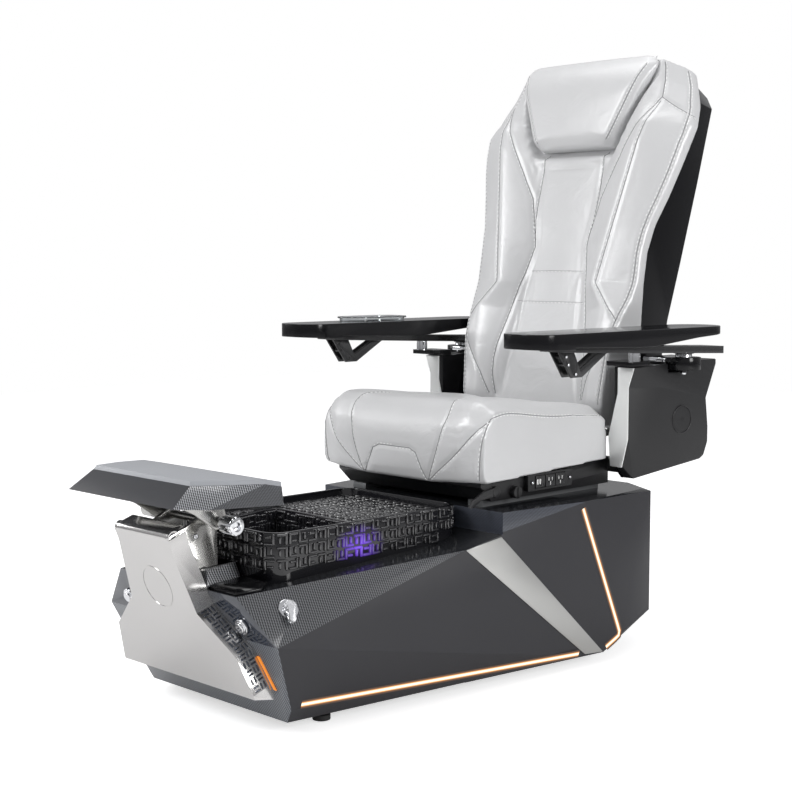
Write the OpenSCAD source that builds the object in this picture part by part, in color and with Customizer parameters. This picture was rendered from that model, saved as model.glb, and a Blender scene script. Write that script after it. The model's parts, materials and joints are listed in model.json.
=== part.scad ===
// Pedicure spa chair: a foot-bath base with a sliding, reclining massage seat.
// Every sub-part is drawn from the front edge of the base, X to the right as seen from
// the front, Y to the rear and Z up, and stand() centres the whole. Right and left in the
// names are as seen from the front.

/* [Placing] */
// How far the footrest reaches ahead of the base's front edge
front_reach = 238; // [200:1:280]
// How far the reclining back reaches behind the base's front edge
back_reach = 1418; // [1400:1:1480]

/* [Base] */
// Width across the base at its front bottom edge
base_front_w = 450; // [435:1:470]
// How far each side wall spreads outwards per millimetre of length
side_flare = 0.122; // [0.115:0.001:0.13]
// Height of the base's lower edge above the floor
ground_gap = 25; // [20:1:32]
// Wall of the moulded base
base_wall = 8; // [5:0.5:9]
// Height of the crease along the nose's sides, where the base is widest
crease_z = 199; // [190:1:206]
// Distance from the middle to the crease's front end
crease_x = 284; // [276:1:288]
// Height of the deck at the front of the nose
nose_z = 291; // [286:1:296]
// How far the nose leans out ahead of the base's front edge
nose_reach = 103; // [98:1:106]
// Where the side trim starts and the deck begins to rise
deck_y = 463; // [455:1:470]
// Height of the deck where it begins to rise
deck_z = 319; // [312:1:325]
// Where the seat platform's front face stands
platform_y = 569; // [560:1:580]
// Height of the seat platform
platform_z = 390; // [380:1:398]
// Length of the base behind its front edge
base_len = 1192; // [1170:1:1200]
// Width of the light strips
led_w = 6; // [4:0.5:9]

/* [Basin] */
// Width of the foot basin over its rim
basin_w = 366; // [350:1:372]
// Length of the foot basin over its rim
basin_len = 545; // [530:1:548]
// Front of the foot basin
basin_y = 5; // [4:1:12]
// Height of the basin's rim
basin_z = 399; // [394:1:405]
// Depth from the rim to the ledge round the foot well
ledge_drop = 19; // [14:1:30]
// Depth from the rim to the floor of the foot well
well_depth = 228; // [200:1:232]
// Wall of the basin
basin_wall = 7; // [5:0.5:9]
// Width of the foot well at its front
well_front_w = 190; // [170:1:210]
// Width of the foot well at its rear
well_rear_w = 302; // [280:1:320]
// Diameter of the drain hole
drain_d = 46; // [38:1:52]
// Diameter of the jet's cover
jet_d = 104; // [90:1:120]

/* [Shield and footrest] */
// Height of the shield's lower edge
shield_z = 86; // [80:1:95]
// Thickness of the folded steel
shield_t = 2; // [1.5:0.1:3]
// Depth of the shield's side flanges
flange_depth = 44; // [36:1:48]
// Height of the footrest's tilting axis
tilt_z = 421; // [416:1:425]
// Where the footrest's tilting axis lies
tilt_y = -67; // [-72:1:-62]
// Diameter of the footrest's shaft
tilt_d = 16; // [12:1:20]
// Thickness of the footrest's soft top
pad_t = 9; // [6:0.5:12]

/* [Seat] */
// Width of the seat cushion
seat_w = 530; // [510:2:534]
// Front of the seat cushion
seat_y = 518; // [510:1:530]
// Rear of the seat cushion
seat_rear_y = 984; // [970:1:985]
// Height of the cushion's underside at the front
seat_under_z = 449; // [446:1:455]
// Rise of the cushion's underside from front to rear
seat_under_rise = 20; // [15:1:24]
// Width of the seat pan
pan_w = 470; // [450:2:480]
// Height of the slide rails
rail_h = 14; // [10:1:16]
// Diameter of the recliner shaft
recline_d = 16; // [12:1:20]
// Height of the recliner shaft
recline_z = 520; // [515:1:524]
// Where the recliner shaft lies
recline_y = 1000; // [998:1:1004]

/* [Arms and trays] */
// Distance from the middle to the inner face of an arm
arm_x = 284; // [280:1:288]
// Thickness of an arm's inner plate
arm_plate = 6; // [4:0.5:8]
// Front of the arms
arm_y = 979; // [975:1:984]
// Distance from the middle to a tray's swing axis
swing_x = 366; // [362:1:372]
// Where a tray's swing axis lies
swing_y = 1143; // [1135:1:1150]
// Diameter of the swing bearing
hub_d = 83; // [76:1:90]
// Diameter of the swing pin
swing_pin_d = 24; // [18:1:30]
// Height of the tray tops
tray_z = 788; // [784:1:792]
// Inner edge of a tray
tray_inner_x = 302; // [298:1:308]
// Outer edge of a tray
tray_outer_x = 440; // [434:1:446]
// Front of the trays
tray_y = 522; // [512:1:532]

/* [Back] */
// Lean of the back from upright, in degrees
back_lean = 12.55; // [11:0.05:14]
// Where the back's front face crosses the seat line
back_y = 1022; // [1018:1:1026]
// Length of the back cushion above the seat line
back_len = 846; // [820:1:860]
// Thickness of the back cushion in the middle
back_pad_t = 66; // [58:1:68]
// Depth of the rear shell behind the cushion's face
shell_d = 216; // [205:1:222]
// Diameter of the massage unit's guide rods
rod_d = 16; // [12:1:18]
// Distance between the guide rods
rod_gap = 160; // [150:2:180]
// Diameter of the massage rollers
roller_d = 56; // [48:1:58]
// Starting height of the massage carriage above the seat line
carriage_w = 180; // [175:1:220]

/* [Hidden] */
seat_gap = 0.3;
run_fit = 0.05;
quick = 32;
fine = 64;
origin_y = -(back_reach - front_reach) / 2;
platform_end_y = 816;
led_bend_y = 945;
kick_y = 885;
kick_z = 61;
tail_y = 1095;
tail_x = 310;
nose_x = 197;
crease_y = -70;
lean_rate = tan(19);
seat_line_z = 600;
beam_under_front = [640, 745];
beam_under_mid = [925, 732];
beam_under_rear = [1260, 717.6];
beam_top_mid = [925, 748];
beam_top_rear = [1260, 735.6];
beam_x = [336, 402];
cap_z = 708;
plate_z = 712;
boss_z = 720.8;

// --- shared placing and shapes -------------------------------------------------

// Moves a sub-part from the base's front edge to the middle of the chair
module stand() {
  translate([0, origin_y, 0]) children();
}

// Draws a sub-part on one side of the chair
module on(side) {
  mirror([side == "left" ? 1 : 0, 0, 0]) children();
}

module both() {
  children();
  mirror([1, 0, 0]) children();
}

// Smallest convex block through the points and their mirror images
module block(points) {
  all = concat(points, [for (p = points) [-p[0], p[1], p[2]]]);
  hull() polyhedron(all, [[for (i = [0:len(all) - 1]) i]]);
}

// Smallest convex block through the points alone
module lump(points) {
  hull() polyhedron(points, [[for (i = [0:len(points) - 1]) i]]);
}

// Extrudes an outline given in Y and Z across the chair, from x0 to x1
module across(x0, x1) {
  translate([x0, 0, 0]) rotate([90, 0, 90]) linear_extrude(x1 - x0) children();
}

// Extrudes an outline given in X and Z towards the rear, from y0 to y1
module rearwards(y0, y1) {
  translate([0, y1, 0]) rotate([90, 0, 0]) linear_extrude(y1 - y0) children();
}

module round_rect(x0, x1, y0, y1, r) {
  translate([x0 + r, y0]) square([x1 - x0 - 2 * r, y1 - y0]);
  translate([x0, y0 + r]) square([x1 - x0, y1 - y0 - 2 * r]);
  for (x = [x0 + r, x1 - r])
    for (y = [y0 + r, y1 - r])
      translate([x, y]) circle(r, $fn = fine);
}

// Rod along X between two places
module rod_x(x0, x1, y, z, d) {
  translate([x0, y, z]) rotate([0, 90, 0]) cylinder(d = d, h = x1 - x0, $fn = fine);
}

// Closed skin over rings that all have the same number of points. The ends are fans, or,
// for rings whose second half runs back under the first, ladders between the halves.
module skin(rings, ladder = false) {
  n = len(rings[0]);
  last = (len(rings) - 1) * n;
  sides = [
    for (j = [0:len(rings) - 2])
      for (i = [0:n - 1])
        let (k = (i + 1) % n)
          each [
            [j * n + i, j * n + k, (j + 1) * n + k],
            [j * n + i, (j + 1) * n + k, (j + 1) * n + i]
          ]
  ];
  fans = [for (i = [1:n - 2]) each [[0, i + 1, i], [last, last + i, last + i + 1]]];
  ladders = [
    for (i = [0:n / 2 - 2])
      let (a = n - 1 - i, b = n - 2 - i)
        each [
          [i + 1, i, a], [i + 1, a, b],
          [last + i, last + i + 1, last + a], [last + i + 1, last + b, last + a]
        ]
  ];
  ends = ladder ? ladders : fans;
  polyhedron([for (ring = rings) each ring], concat(sides, ends));
}

// Smooth step from 0 at a to 1 at b
function ease(t, a, b) = let (u = min(1, max(0, (t - a) / (b - a)))) u * u * (3 - 2 * u);

// Value at t on a line through the [place, value] pairs, level beyond its ends
function along(t, pairs) =
  t <= pairs[0][0] ? pairs[0][1]
  : len(pairs) == 1 ? pairs[0][1]
  : t < pairs[1][0]
    ? pairs[0][1] + (pairs[1][1] - pairs[0][1]) * (t - pairs[0][0]) / (pairs[1][0] - pairs[0][0])
  : along(t, [for (i = [1:len(pairs) - 1]) pairs[i]]);

// Narrow sewn groove, 1 on the seam and 0 past its half width
function groove(t, seam, half) = max(0, 1 - abs(t - seam) / half);

// --- base -----------------------------------------------------------------------

function wall_x(y) = base_front_w / 2 + side_flare * y;
function inner_x(y) = wall_x(y) - base_wall;
// Inner face of the tail's walls, which draw in towards the rear
function tail_inner_x(y) =
  along(y, [[platform_end_y, inner_x(platform_end_y) - 2], [tail_y, tail_x - base_wall - 3]]);

// Corners of the front body on the right side: its lower edge, the turn to the side wall,
// the crease, the nose, the start of the raised deck and the trim's foot
toe = [wall_x(0) + 3, 0, ground_gap];
turn_up = [wall_x(0) + 25, -8, ground_gap + 32];
crease = [crease_x, crease_y, crease_z];
nose_top = [nose_x, -nose_reach, nose_z];
deck = [wall_x(deck_y), deck_y, deck_z];
trim_foot = [wall_x(818), 818, ground_gap + 2];

// Height of the deck at Y
function deck_at(y) = nose_z + (deck_z - nose_z) * (y + nose_reach) / (deck_y + nose_reach);
// Place along Y of the nose's front face at a height
function nose_face(z) = along(z, [[ground_gap, 0], [crease_z, crease_y], [nose_z, -nose_reach]]);

// Plane through three places, as X = p[0] + p[1] * Y + p[2] * Z
function plane(a, b, c) =
  let (n = cross(b - a, c - a)) [a[0] + (a[1] * n[1] + a[2] * n[2]) / n[0], -n[1] / n[0], -n[2] / n[0]];
function on_plane(p, y, z) = [p[0] + p[1] * y + p[2] * z, y, z];
low_wall = plane(turn_up, crease, trim_foot);
wall_turn = atan(side_flare);

// Puts an outline of wall length and height on the right side wall, standing out by t
module on_side_wall(t) {
  translate([wall_x(0), 0, 0])
    rotate([0, 0, -wall_turn])
      rotate([90, 0, 90])
        linear_extrude(t) children();
}

// Length along the side wall of a place at Y
function wall_len(y) = y / cos(wall_turn);

// Front body under the foot deck
module nose_body() {
  block([toe, turn_up, crease, nose_top, deck, trim_foot]);
}

module base_outer() {
  deck_low = [wall_x(deck_y), deck_y, ground_gap];
  step_low = [wall_x(platform_y), platform_y, ground_gap];
  rise = (platform_y - deck_y) * 0.2;
  step_foot = [wall_x(platform_y), platform_y, deck_z + rise];
  step_head = [wall_x(platform_y), platform_y, platform_z];
  end_head = [wall_x(platform_end_y), platform_end_y, platform_z];
  end_low = [wall_x(platform_end_y), platform_end_y, ground_gap];
  bend = [wall_x(led_bend_y), led_bend_y, kick_z];
  kick = [wall_x(kick_y), kick_y, ground_gap];
  tail_z = kick_z + 28;
  nose_body();
  block([deck_low, deck, step_foot, step_low]);
  block([step_low, step_head, end_head, end_low]);
  block([
    end_head, end_low, kick, bend,
    [tail_x, tail_y, platform_z - 6], [tail_x, tail_y, tail_z],
    [tail_x - 12, tail_y - 24, platform_z],
    [tail_x - 70, base_len - 22, platform_z - 20], [tail_x - 70, base_len - 22, tail_z],
    [110, base_len, platform_z - 20], [110, base_len, tail_z],
    [tail_x - 96, base_len - 60, platform_z]
  ]);
}

// Space inside the base, open at the floor
module base_cavity() {
  roof = platform_z - base_wall;
  inset = [-2, 11, -8];
  block([
    [toe[0] - 24, 12, 0], turn_up + [-10, 10, 0], crease + [-11, 9, 0], nose_top + inset,
    [deck[0] - 9, deck_y + 6, deck_z - 9], [trim_foot[0] - 18, 800, 0],
    [trim_foot[0] - 18, 800, 30]
  ]);
  intersection() {
    across(-base_front_w, base_front_w)
      polygon([
        [deck_y + 2, 0],
        [deck_y + 2, deck_z - base_wall - 1],
        [platform_y + base_wall, deck_z - base_wall - 1],
        [platform_y + base_wall, roof],
        [tail_y - 30, roof],
        [tail_y + 60, roof - 24],
        [tail_y + 60, 0]
      ]);
    linear_extrude(platform_z)
      polygon([
        [inner_x(deck_y), deck_y], [tail_inner_x(platform_end_y), platform_end_y],
        [tail_inner_x(tail_y), tail_y], [tail_x - 80, tail_y + 60],
        [80 - tail_x, tail_y + 60], [-tail_inner_x(tail_y), tail_y],
        [-tail_inner_x(platform_end_y), platform_end_y], [-inner_x(deck_y), deck_y]
      ]);
  }
}

// Outline of the basin's outer wall, grown by g
module basin_plan(g) {
  half = basin_w / 2 + g;
  round_rect(-half, half, basin_y - g, basin_y + basin_len + g, 46 + g);
}

module base_shell() {
  color([0.2, 0.2, 0.22])
    stand()
      difference() {
        base_outer();
        base_cavity();
        translate([0, 0, nose_z - 54]) linear_extrude(basin_z) basin_plan(seat_gap);
        both() side_holes();
      }
}

// Holes through the base for the side lever and the nose knob on one side
module side_holes() {
  at_lever() translate([0, 0, -30]) cylinder(d = 20, h = 60, $fn = fine);
  at_knob() translate([0, 0, -40]) cylinder(d = 14, h = 80, $fn = fine);
}

rail_x = 196;
rail_z = [37, 77];
rail_y0 = 30;
rail_end = 900;
cross_y = [100, 250, 560, 870];
foot_y = [119, 500, 850];
rail_w = 40;

module chassis_rails() {
  color([0.35, 0.36, 0.38])
    stand()
      both()
        translate([rail_x - rail_w / 2, rail_y0, rail_z[0]])
          cube([rail_w, rail_end - rail_y0, rail_z[1] - rail_z[0]]);
}

// Crossbars between the rails, outriggers to the base's walls and the basin's four props
module chassis_crossbars() {
  bar_h = rail_z[1] - rail_z[0];
  prop_h = well_z - basin_wall - rail_z[1];
  inner = rail_x - rail_w / 2;
  color([0.35, 0.36, 0.38])
    stand() {
      for (y = cross_y) {
        translate([-inner, y - rail_w / 2, rail_z[0]]) cube([2 * inner, rail_w, bar_h]);
        both()
          intersection() {
            translate([inner + rail_w, y - rail_w / 2, rail_z[0]]) cube([120, rail_w, bar_h]);
            translate([-seat_gap, 0, 0]) base_cavity();
          }
      }
      both()
        for (y = [cross_y[0], cross_y[1]])
          translate([50, y - 14, rail_z[1]]) cube([28, 28, prop_h]);
    }
}

module levelling_feet() {
  color([0.1, 0.1, 0.1])
    stand()
      both()
        for (y = foot_y)
          translate([rail_x, y, 0]) {
            cylinder(d = 38, h = 12, $fn = quick);
            cylinder(d = 12, h = rail_z[0], $fn = quick);
          }
}

module side_trim(side) {
  slant = platform_y - deck_y - 5;
  color([0.72, 0.73, 0.7])
    stand()
      on(side)
        on_side_wall(2)
          polygon([
            [wall_len(deck_y), deck_z - 1],
            [wall_len(deck_y + slant), deck_z + 0.17 * slant],
            [wall_len(882), ground_gap + 2],
            [wall_len(824), ground_gap + 5]
          ]);
}
module side_trim_right() { side_trim("right"); }
module side_trim_left() { side_trim("left"); }

// A straight light strip on the side wall between two places given as Y and height
module strip(a, b) {
  turn = atan2(b[1] - a[1], wall_len(b[0]) - wall_len(a[0]));
  run = norm([b[1] - a[1], wall_len(b[0]) - wall_len(a[0])]);
  translate([wall_len(a[0]), a[1]]) rotate(turn) translate([0, -led_w / 2]) square([run, led_w]);
}

// The lower strip lies on the leaning front part of the wall
module low_strip(a, b) {
  h = led_w / 2;
  out = [2, 0, -0.5];
  rear = on_plane(low_wall, b[0], b[1] - h);
  foot = on_plane(low_wall, a[0], a[1] - h);
  head = on_plane(low_wall, a[0], a[1] + h);
  rear_head = on_plane(low_wall, b[0], b[1] + h);
  lump([rear, foot, head, rear_head, rear + out, foot + out, head + out, rear_head + out]);
}

module led_strips(side) {
  color([1, 0.85, 0.6])
    stand()
      on(side) {
        low_strip([16, 64.5], [802, 35]);
        on_side_wall(2) {
          strip([platform_end_y - 2, 372], [led_bend_y - 6, kick_z]);
          strip([led_bend_y - 6, kick_z], [893, 35]);
        }
      }
}
module led_strips_right() { led_strips("right"); }
module led_strips_left() { led_strips("left"); }

// Facet above the crease, its outward direction and the side lever's place on it
facet = plane(crease, nose_top, deck);
facet_out = [1, -facet[1], -facet[2]] / norm([1, facet[1], facet[2]]);
lever_at = on_plane(facet, -10, 259);
module at_lever() {
  translate(lever_at)
    rotate([0, acos(facet_out[2]), atan2(facet_out[1], facet_out[0])]) children();
}

// Centre and outward direction of the nose knob, on the leaning nose face
knob_z = 230;
nose_lean = atan2(nose_reach + crease_y, nose_z - crease_z);
module at_knob() {
  translate([192, nose_face(knob_z), knob_z]) rotate([90 + nose_lean, 0, 0]) children();
}

lever_d = 12;
knob_d = 8;
module escutcheons() {
  plate = 5;
  color([0.85, 0.85, 0.87])
    stand()
      both()
        at_lever()
          difference() {
            translate([0, 0, seat_gap / 2]) cylinder(d = 42, h = plate, $fn = fine);
            translate([0, 0, -1]) cylinder(d = lever_d + 2 * run_fit, h = plate + 4, $fn = fine);
          }
}

module lever(side) {
  grip = 36;
  color([0.88, 0.88, 0.9])
    stand()
      on(side)
        at_lever() {
          translate([0, 0, -22]) cylinder(d = lever_d, h = 40, $fn = fine);
          translate([0, 0, 6]) cylinder(d = 24, h = 12, $fn = fine);
          rotate([0, 0, -12])
            translate([0, -7, 10]) {
              cube([grip - 7, 14, 8]);
              translate([grip - 7, 7, 0]) cylinder(d = 14, h = 8, $fn = fine);
            }
        }
}
module lever_right() { lever("right"); }
module lever_left() { lever("left"); }

module knob(side) {
  color([0.88, 0.88, 0.9])
    stand()
      on(side)
        at_knob() {
          translate([0, 0, -18]) cylinder(d = knob_d, h = 22, $fn = fine);
          translate([0, 0, 1]) cylinder(d = 34, h = 6, $fn = fine);
          translate([0, 0, 6]) cylinder(d = 22, h = 6, $fn = fine);
        }
}
module knob_right() { knob("right"); }
module knob_left() { knob("left"); }

// Valves behind the levers and the knobs, seated against the inside of the base
module valve_bodies() {
  color([0.7, 0.6, 0.3])
    stand()
      both() {
        intersection() {
          at_lever()
            difference() {
              translate([0, 0, -58]) cylinder(d = 30, h = 58, $fn = fine);
              translate([0, 0, -24]) cylinder(d = lever_d + 2 * run_fit, h = 30, $fn = fine);
            }
          translate([-seat_gap, 0, -seat_gap]) base_cavity();
        }
        intersection() {
          at_knob()
            difference() {
              translate([0, 0, -46]) cylinder(d = 24, h = 46, $fn = fine);
              translate([0, 0, -20]) cylinder(d = knob_d + 2 * run_fit, h = 30, $fn = fine);
            }
          translate([0, seat_gap * 1.2, 0]) base_cavity();
        }
      }
}

// --- foot basin -----------------------------------------------------------------

well_y = [45, 292];
well_z = basin_z - well_depth;
ledge_z = basin_z - ledge_drop;

// Outline of the foot well, grown by g
module well_plan(g) {
  front = well_front_w / 2 + g;
  rear = well_rear_w / 2 + g;
  polygon([
    [-front, well_y[0] - g], [front, well_y[0] - g],
    [rear, well_y[1] - 30], [rear, well_y[1] + g],
    [-rear, well_y[1] + g], [-rear, well_y[1] - 30]
  ]);
}

drain_at = [0, 180];
jet_z = well_z + 76;
light_at = [236, 332];

module basin() {
  color([0.06, 0.06, 0.08])
    stand()
      difference() {
        union() {
          difference() {
            translate([0, 0, nose_z - 5]) linear_extrude(basin_z - nose_z + 5) basin_plan(0);
            translate([0, 0, ledge_z]) linear_extrude(basin_z) basin_plan(-basin_wall);
            translate([0, 0, nose_z - 20])
              linear_extrude(ledge_z - basin_wall - nose_z + 20) basin_plan(-basin_wall);
          }
          translate([0, 0, well_z - basin_wall])
            linear_extrude(ledge_z - well_z + basin_wall) well_plan(basin_wall);
        }
        translate([0, 0, well_z]) linear_extrude(basin_z) well_plan(0);
        translate([drain_at[0], drain_at[1], well_z - 20]) cylinder(d = drain_d, h = 40, $fn = fine);
        translate([0, well_y[0] + 5, jet_z])
          rotate([90, 0, 0]) cylinder(d = 30, h = 30, $fn = fine);
      }
}

// Coloured lamps between the well and the basin's side walls
module basin_lights() {
  lamp_x = basin_w / 2 - basin_wall - seat_gap;
  color([0.45, 0.3, 0.95])
    stand()
      both()
        rod_x(lamp_x - 14, lamp_x, light_at[0], light_at[1], 46);
}

module jet_pump() {
  cover_y = well_y[0] + seat_gap;
  color([0.3, 0.3, 0.32])
    stand()
      translate([0, cover_y, jet_z])
        rotate([-90, 0, 0])
          difference() {
            union() {
              cylinder(d = jet_d, h = 24, $fn = fine);
              translate([0, 0, -basin_wall - 1 - 70]) cylinder(d = 78, h = 70, $fn = fine);
              translate([0, 0, -basin_wall - 2]) cylinder(d = 28, h = 12, $fn = fine);
            }
            translate([0, 0, 3]) cylinder(d = jet_d - 8, h = 17, $fn = fine);
            for (turn = [0:45:315])
              rotate(turn) translate([jet_d * 0.31, 0, 10]) cylinder(d = 14, h = 30, $fn = fine);
            translate([0, 0, -30]) cylinder(d = 8 + 2 * run_fit, h = 40, $fn = fine);
          }
}

module jet_impeller() {
  hub_y = well_y[0] + seat_gap;
  color([0.75, 0.75, 0.78])
    stand()
      translate([0, hub_y, jet_z])
        rotate([-90, 0, 0]) {
          translate([0, 0, -28]) cylinder(d = 8, h = 44, $fn = fine);
          translate([0, 0, 5]) cylinder(d = 22, h = 11, $fn = fine);
          for (turn = [0:60:300])
            rotate(turn) translate([8, -2, 5]) cube([jet_d / 2 - 18, 4, 11]);
        }
}

pipe_end = 60;
pipe_d = drain_d - 14;
spigot = [52, 40];
module drain_pipe() {
  color([0.85, 0.85, 0.85])
    stand()
      translate([drain_at[0], drain_at[1], 0])
        difference() {
          union() {
            translate([0, 0, well_z - basin_wall - 6]) cylinder(d = drain_d + 22, h = 6, $fn = fine);
            translate([0, 0, pipe_end]) cylinder(d = drain_d, h = well_z - basin_wall - pipe_end, $fn = fine);
            translate([0, 0, pipe_end]) cylinder(d = spigot[0], h = spigot[1], $fn = fine);
          }
          translate([0, 0, pipe_end - 1]) cylinder(d = pipe_d, h = well_z, $fn = fine);
        }
}

module drain_stopper() {
  color([0.8, 0.8, 0.82])
    stand()
      translate([drain_at[0], drain_at[1], well_z]) {
        translate([0, 0, seat_gap]) cylinder(d = drain_d + 12, h = 4, $fn = fine);
        translate([0, 0, -20]) cylinder(d = 8, h = 22, $fn = fine);
        for (turn = [0:120:240])
          rotate(turn) translate([0, -1, -6]) cube([drain_d / 2 - 1, 2, 7]);
      }
}

module fill_spout() {
  spout_z = ledge_z - 34;
  color([0.85, 0.85, 0.87])
    stand()
      translate([-40, well_y[0] + seat_gap, spout_z])
        rotate([-90, 0, 0]) {
          cylinder(d = 34, h = 5, $fn = fine);
          difference() {
            cylinder(d = 22, h = 40, $fn = fine);
            translate([0, 0, 8]) cylinder(d = 16, h = 40, $fn = fine);
          }
        }
}

// Power and pump control box, with the cable gland at its rear
module control_box() {
  box_y = 660;
  color([0.25, 0.26, 0.28])
    stand() {
      difference() {
        union() {
          translate([-110, box_y, rail_z[1]]) cube([220, 150, 110]);
          translate([60, box_y + 149, rail_z[1] + 40])
            rotate([-90, 0, 0]) cylinder(d = 22, h = 16, $fn = fine);
        }
        translate([60, box_y + 140, rail_z[1] + 40])
          rotate([-90, 0, 0]) cylinder(d = 9, h = 40, $fn = fine);
      }
      for (y = [box_y - 20, box_y + 140])
        translate([-rail_x, y, rail_z[1] + seat_gap / 2]) cube([2 * rail_x, 30, 5]);
    }
}

// --- front shield and footrest support -------------------------------------------

shield_y = -78;
shield_turn = atan(lean_rate);
// Outline of the shield's front, as half width and height up its own slope
shield_side = [[226, -30], [221, 8], [200, 93], [112, 172], [90, 308], [92, 330]];
function shrunk(points, g) = [for (p = points) [p[0] - g, p[1]]];
function closed(points) = concat(
  points, [for (i = [len(points) - 1:-1:0]) [-points[i][0], points[i][1]]]
);

module on_shield() {
  translate([0, shield_y, shield_z]) rotate([shield_turn, 0, 0]) rotate([90, 0, 0]) children();
}

// Keeps what lies above the shield's lower edge
module above_shield_edge() {
  intersection() {
    children();
    across(-400, 400)
      polygon([[-400, shield_z], [shield_y, shield_z], [60, shield_z - 22], [60, 600], [-400, 600]]);
  }
}

// Folded steel front with side flanges that end against the nose
module front_shield() {
  color([0.76, 0.75, 0.72])
    stand() {
      clear_of_nose()
      above_shield_edge()
        on_shield()
          difference() {
            translate([0, 0, -flange_depth]) linear_extrude(flange_depth) polygon(closed(shield_side));
            translate([0, 0, -flange_depth - 1])
              linear_extrude(flange_depth + 1 - shield_t)
                polygon(closed(concat(
                  [[226 - shield_t, -40]],
                  shrunk([for (i = [1:3]) shield_side[i]], shield_t * 1.3),
                  shrunk([for (i = [4:5]) shield_side[i]], shield_t),
                  [[shield_side[5][0] - shield_t, 340]]
                )));
          }
      shield_cap();
    }
}

module clear_of_nose() {
  difference() {
    children();
    translate([0, -0.4, 0]) nose_body();
  }
}

// Rounded fold along the shield's upper edge
module shield_cap() {
  top = shield_side[5];
  fold_r = 14;
  on_shield()
    translate([-top[0], top[1], -fold_r])
      rotate([0, 90, 0])
        difference() {
          intersection() {
            cylinder(r = fold_r, h = 2 * top[0], $fn = fine);
            translate([-fold_r, 0, 0]) cube([2 * fold_r, fold_r, 2 * top[0]]);
          }
          translate([0, 0, -1]) cylinder(r = fold_r - shield_t, h = 2 * top[0] + 2, $fn = fine);
        }
}

// Warm lamp on the nose behind each of the shield's lower flanges
module amber_light() {
  ends = [[206.6, 168], [224.8, 98]];
  color([1, 0.6, 0.15])
    stand()
      both()
        lump([
          for (e = ends)
            for (dx = [0, 7])
              for (dy = [0, -2.4]) [e[0] + dx, nose_face(e[1]) - seat_gap + dy, e[1]]
        ]);
}

post_x = 52;
post_t = 8;
// Two steel uprights that carry the shield and the footrest's shaft
module footrest_post() {
  color([0.55, 0.56, 0.58])
    stand() {
      both()
        difference() {
          across(post_x, post_x + post_t)
            polygon([
              [-100, nose_z + 4], [-40, nose_z + 4], [tilt_y + 24, tilt_z - 8],
              [tilt_y + 10, tilt_z + 16], [tilt_y - 14, tilt_z + 14], [-150, 395],
              [-160, 360], [-122, 318]
            ]);
          rod_x(post_x - 1, post_x + post_t + 1, tilt_y, tilt_z, tilt_d + 2 * run_fit);
        }
      translate([-post_x - post_t, -100, deck_at(-36) + seat_gap])
        cube([2 * (post_x + post_t), 64, 6]);
    }
}

// Low moulded riser on the nose deck that hides the posts' feet
module post_cover() {
  front = -96;
  rear = 1;
  color([0.16, 0.16, 0.18])
    stand()
      difference() {
        block([
          [97, front, deck_at(front) + seat_gap], [84, rear, deck_at(rear) + seat_gap],
          [88, front + 6, nose_z + 33], [66, rear, nose_z + 38]
        ]);
        translate([-post_x - post_t - 3, front - 30, nose_z - 10])
          cube([2 * (post_x + post_t + 3), 120, 80]);
      }
}

// Flat gloss covers on the nose deck beside the riser
module deck_covers() {
  outline = [[103, -97], [100, -5], [172, -5], [202, -42], [189, -97]];
  inner = [[108, -88], [106, -14], [168, -16], [190, -44], [180, -88]];
  color([0.03, 0.03, 0.04])
    stand()
      both()
        lump(concat(
          [for (p = outline) [p[0], p[1], deck_at(p[1]) + seat_gap]],
          [for (p = outline) [p[0], p[1], deck_at(p[1]) + 6]],
          [for (p = inner) [p[0], p[1], deck_at(p[1]) + 11]]
        ));
}

// Outline of the footrest as half width, Y and Z: the upper edge, then the lower edge
foot_top = [[165, -187, 524], [193, -115, 521], [209, -39, 517], [210, 4, 508]];
foot_low = [[180, -front_reach, 477], [222, -183, 475], [235, -12, 467], [222, 0, 464]];

// Solid form of the footrest under its pad, raised by dz
module footrest_form(dz) {
  lowered = [for (p = foot_top) [p[0] + 1, p[1], p[2] - pad_t + dz]];
  block(concat(lowered, [for (p = foot_low) [p[0], p[1], p[2] + dz]]));
}

foot_skin = 6;
foot_ceiling = [for (p = foot_top) [p[0] - 7, p[1] * 0.95 - 3, p[2] - pad_t - foot_skin]];
module footrest_shell() {
  inner_low = [for (p = foot_low) [p[0] - 10, p[1] * 0.95 - 2, p[2] - foot_skin]];
  color([0.23, 0.23, 0.26])
    stand()
      difference() {
        footrest_form(0);
        block(concat(foot_ceiling, inner_low));
      }
}

module footrest_pad() {
  rim = [for (p = foot_top) [p[0], p[1], p[2] - pad_t]];
  crown = [for (p = foot_top) [p[0] - 5, p[1] + 3 - p[1] * 0.01, p[2]]];
  color([0.72, 0.73, 0.75])
    stand()
      difference() {
        block(concat(crown, rim));
        footrest_form(seat_gap);
      }
}

foot_arm_x = 98;
foot_arm_t = 6;
// Height just under the footrest's inner face
function ceiling_z(y) = along(y, [for (p = foot_ceiling) [p[1], p[2]]]) - seat_gap;
module footrest_arms() {
  color([0.75, 0.75, 0.76])
    stand() {
      rod_x(-118, 118, tilt_y, tilt_z, tilt_d);
      both()
        across(foot_arm_x, foot_arm_x + foot_arm_t)
          polygon([
            [tilt_y - 12, tilt_z - 12], [tilt_y + 12, tilt_z - 12], [tilt_y + 16, tilt_z + 8],
            [-60, 462], [-60, ceiling_z(-60)], [-112, ceiling_z(-112)], [-150, ceiling_z(-150)],
            [-150, 455], [-128, 444]
          ]);
      rod_x(-foot_arm_x, foot_arm_x, -136, 466, 20);
      rod_x(-150, -118, tilt_y, tilt_z, 30);
    }
}

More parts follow.
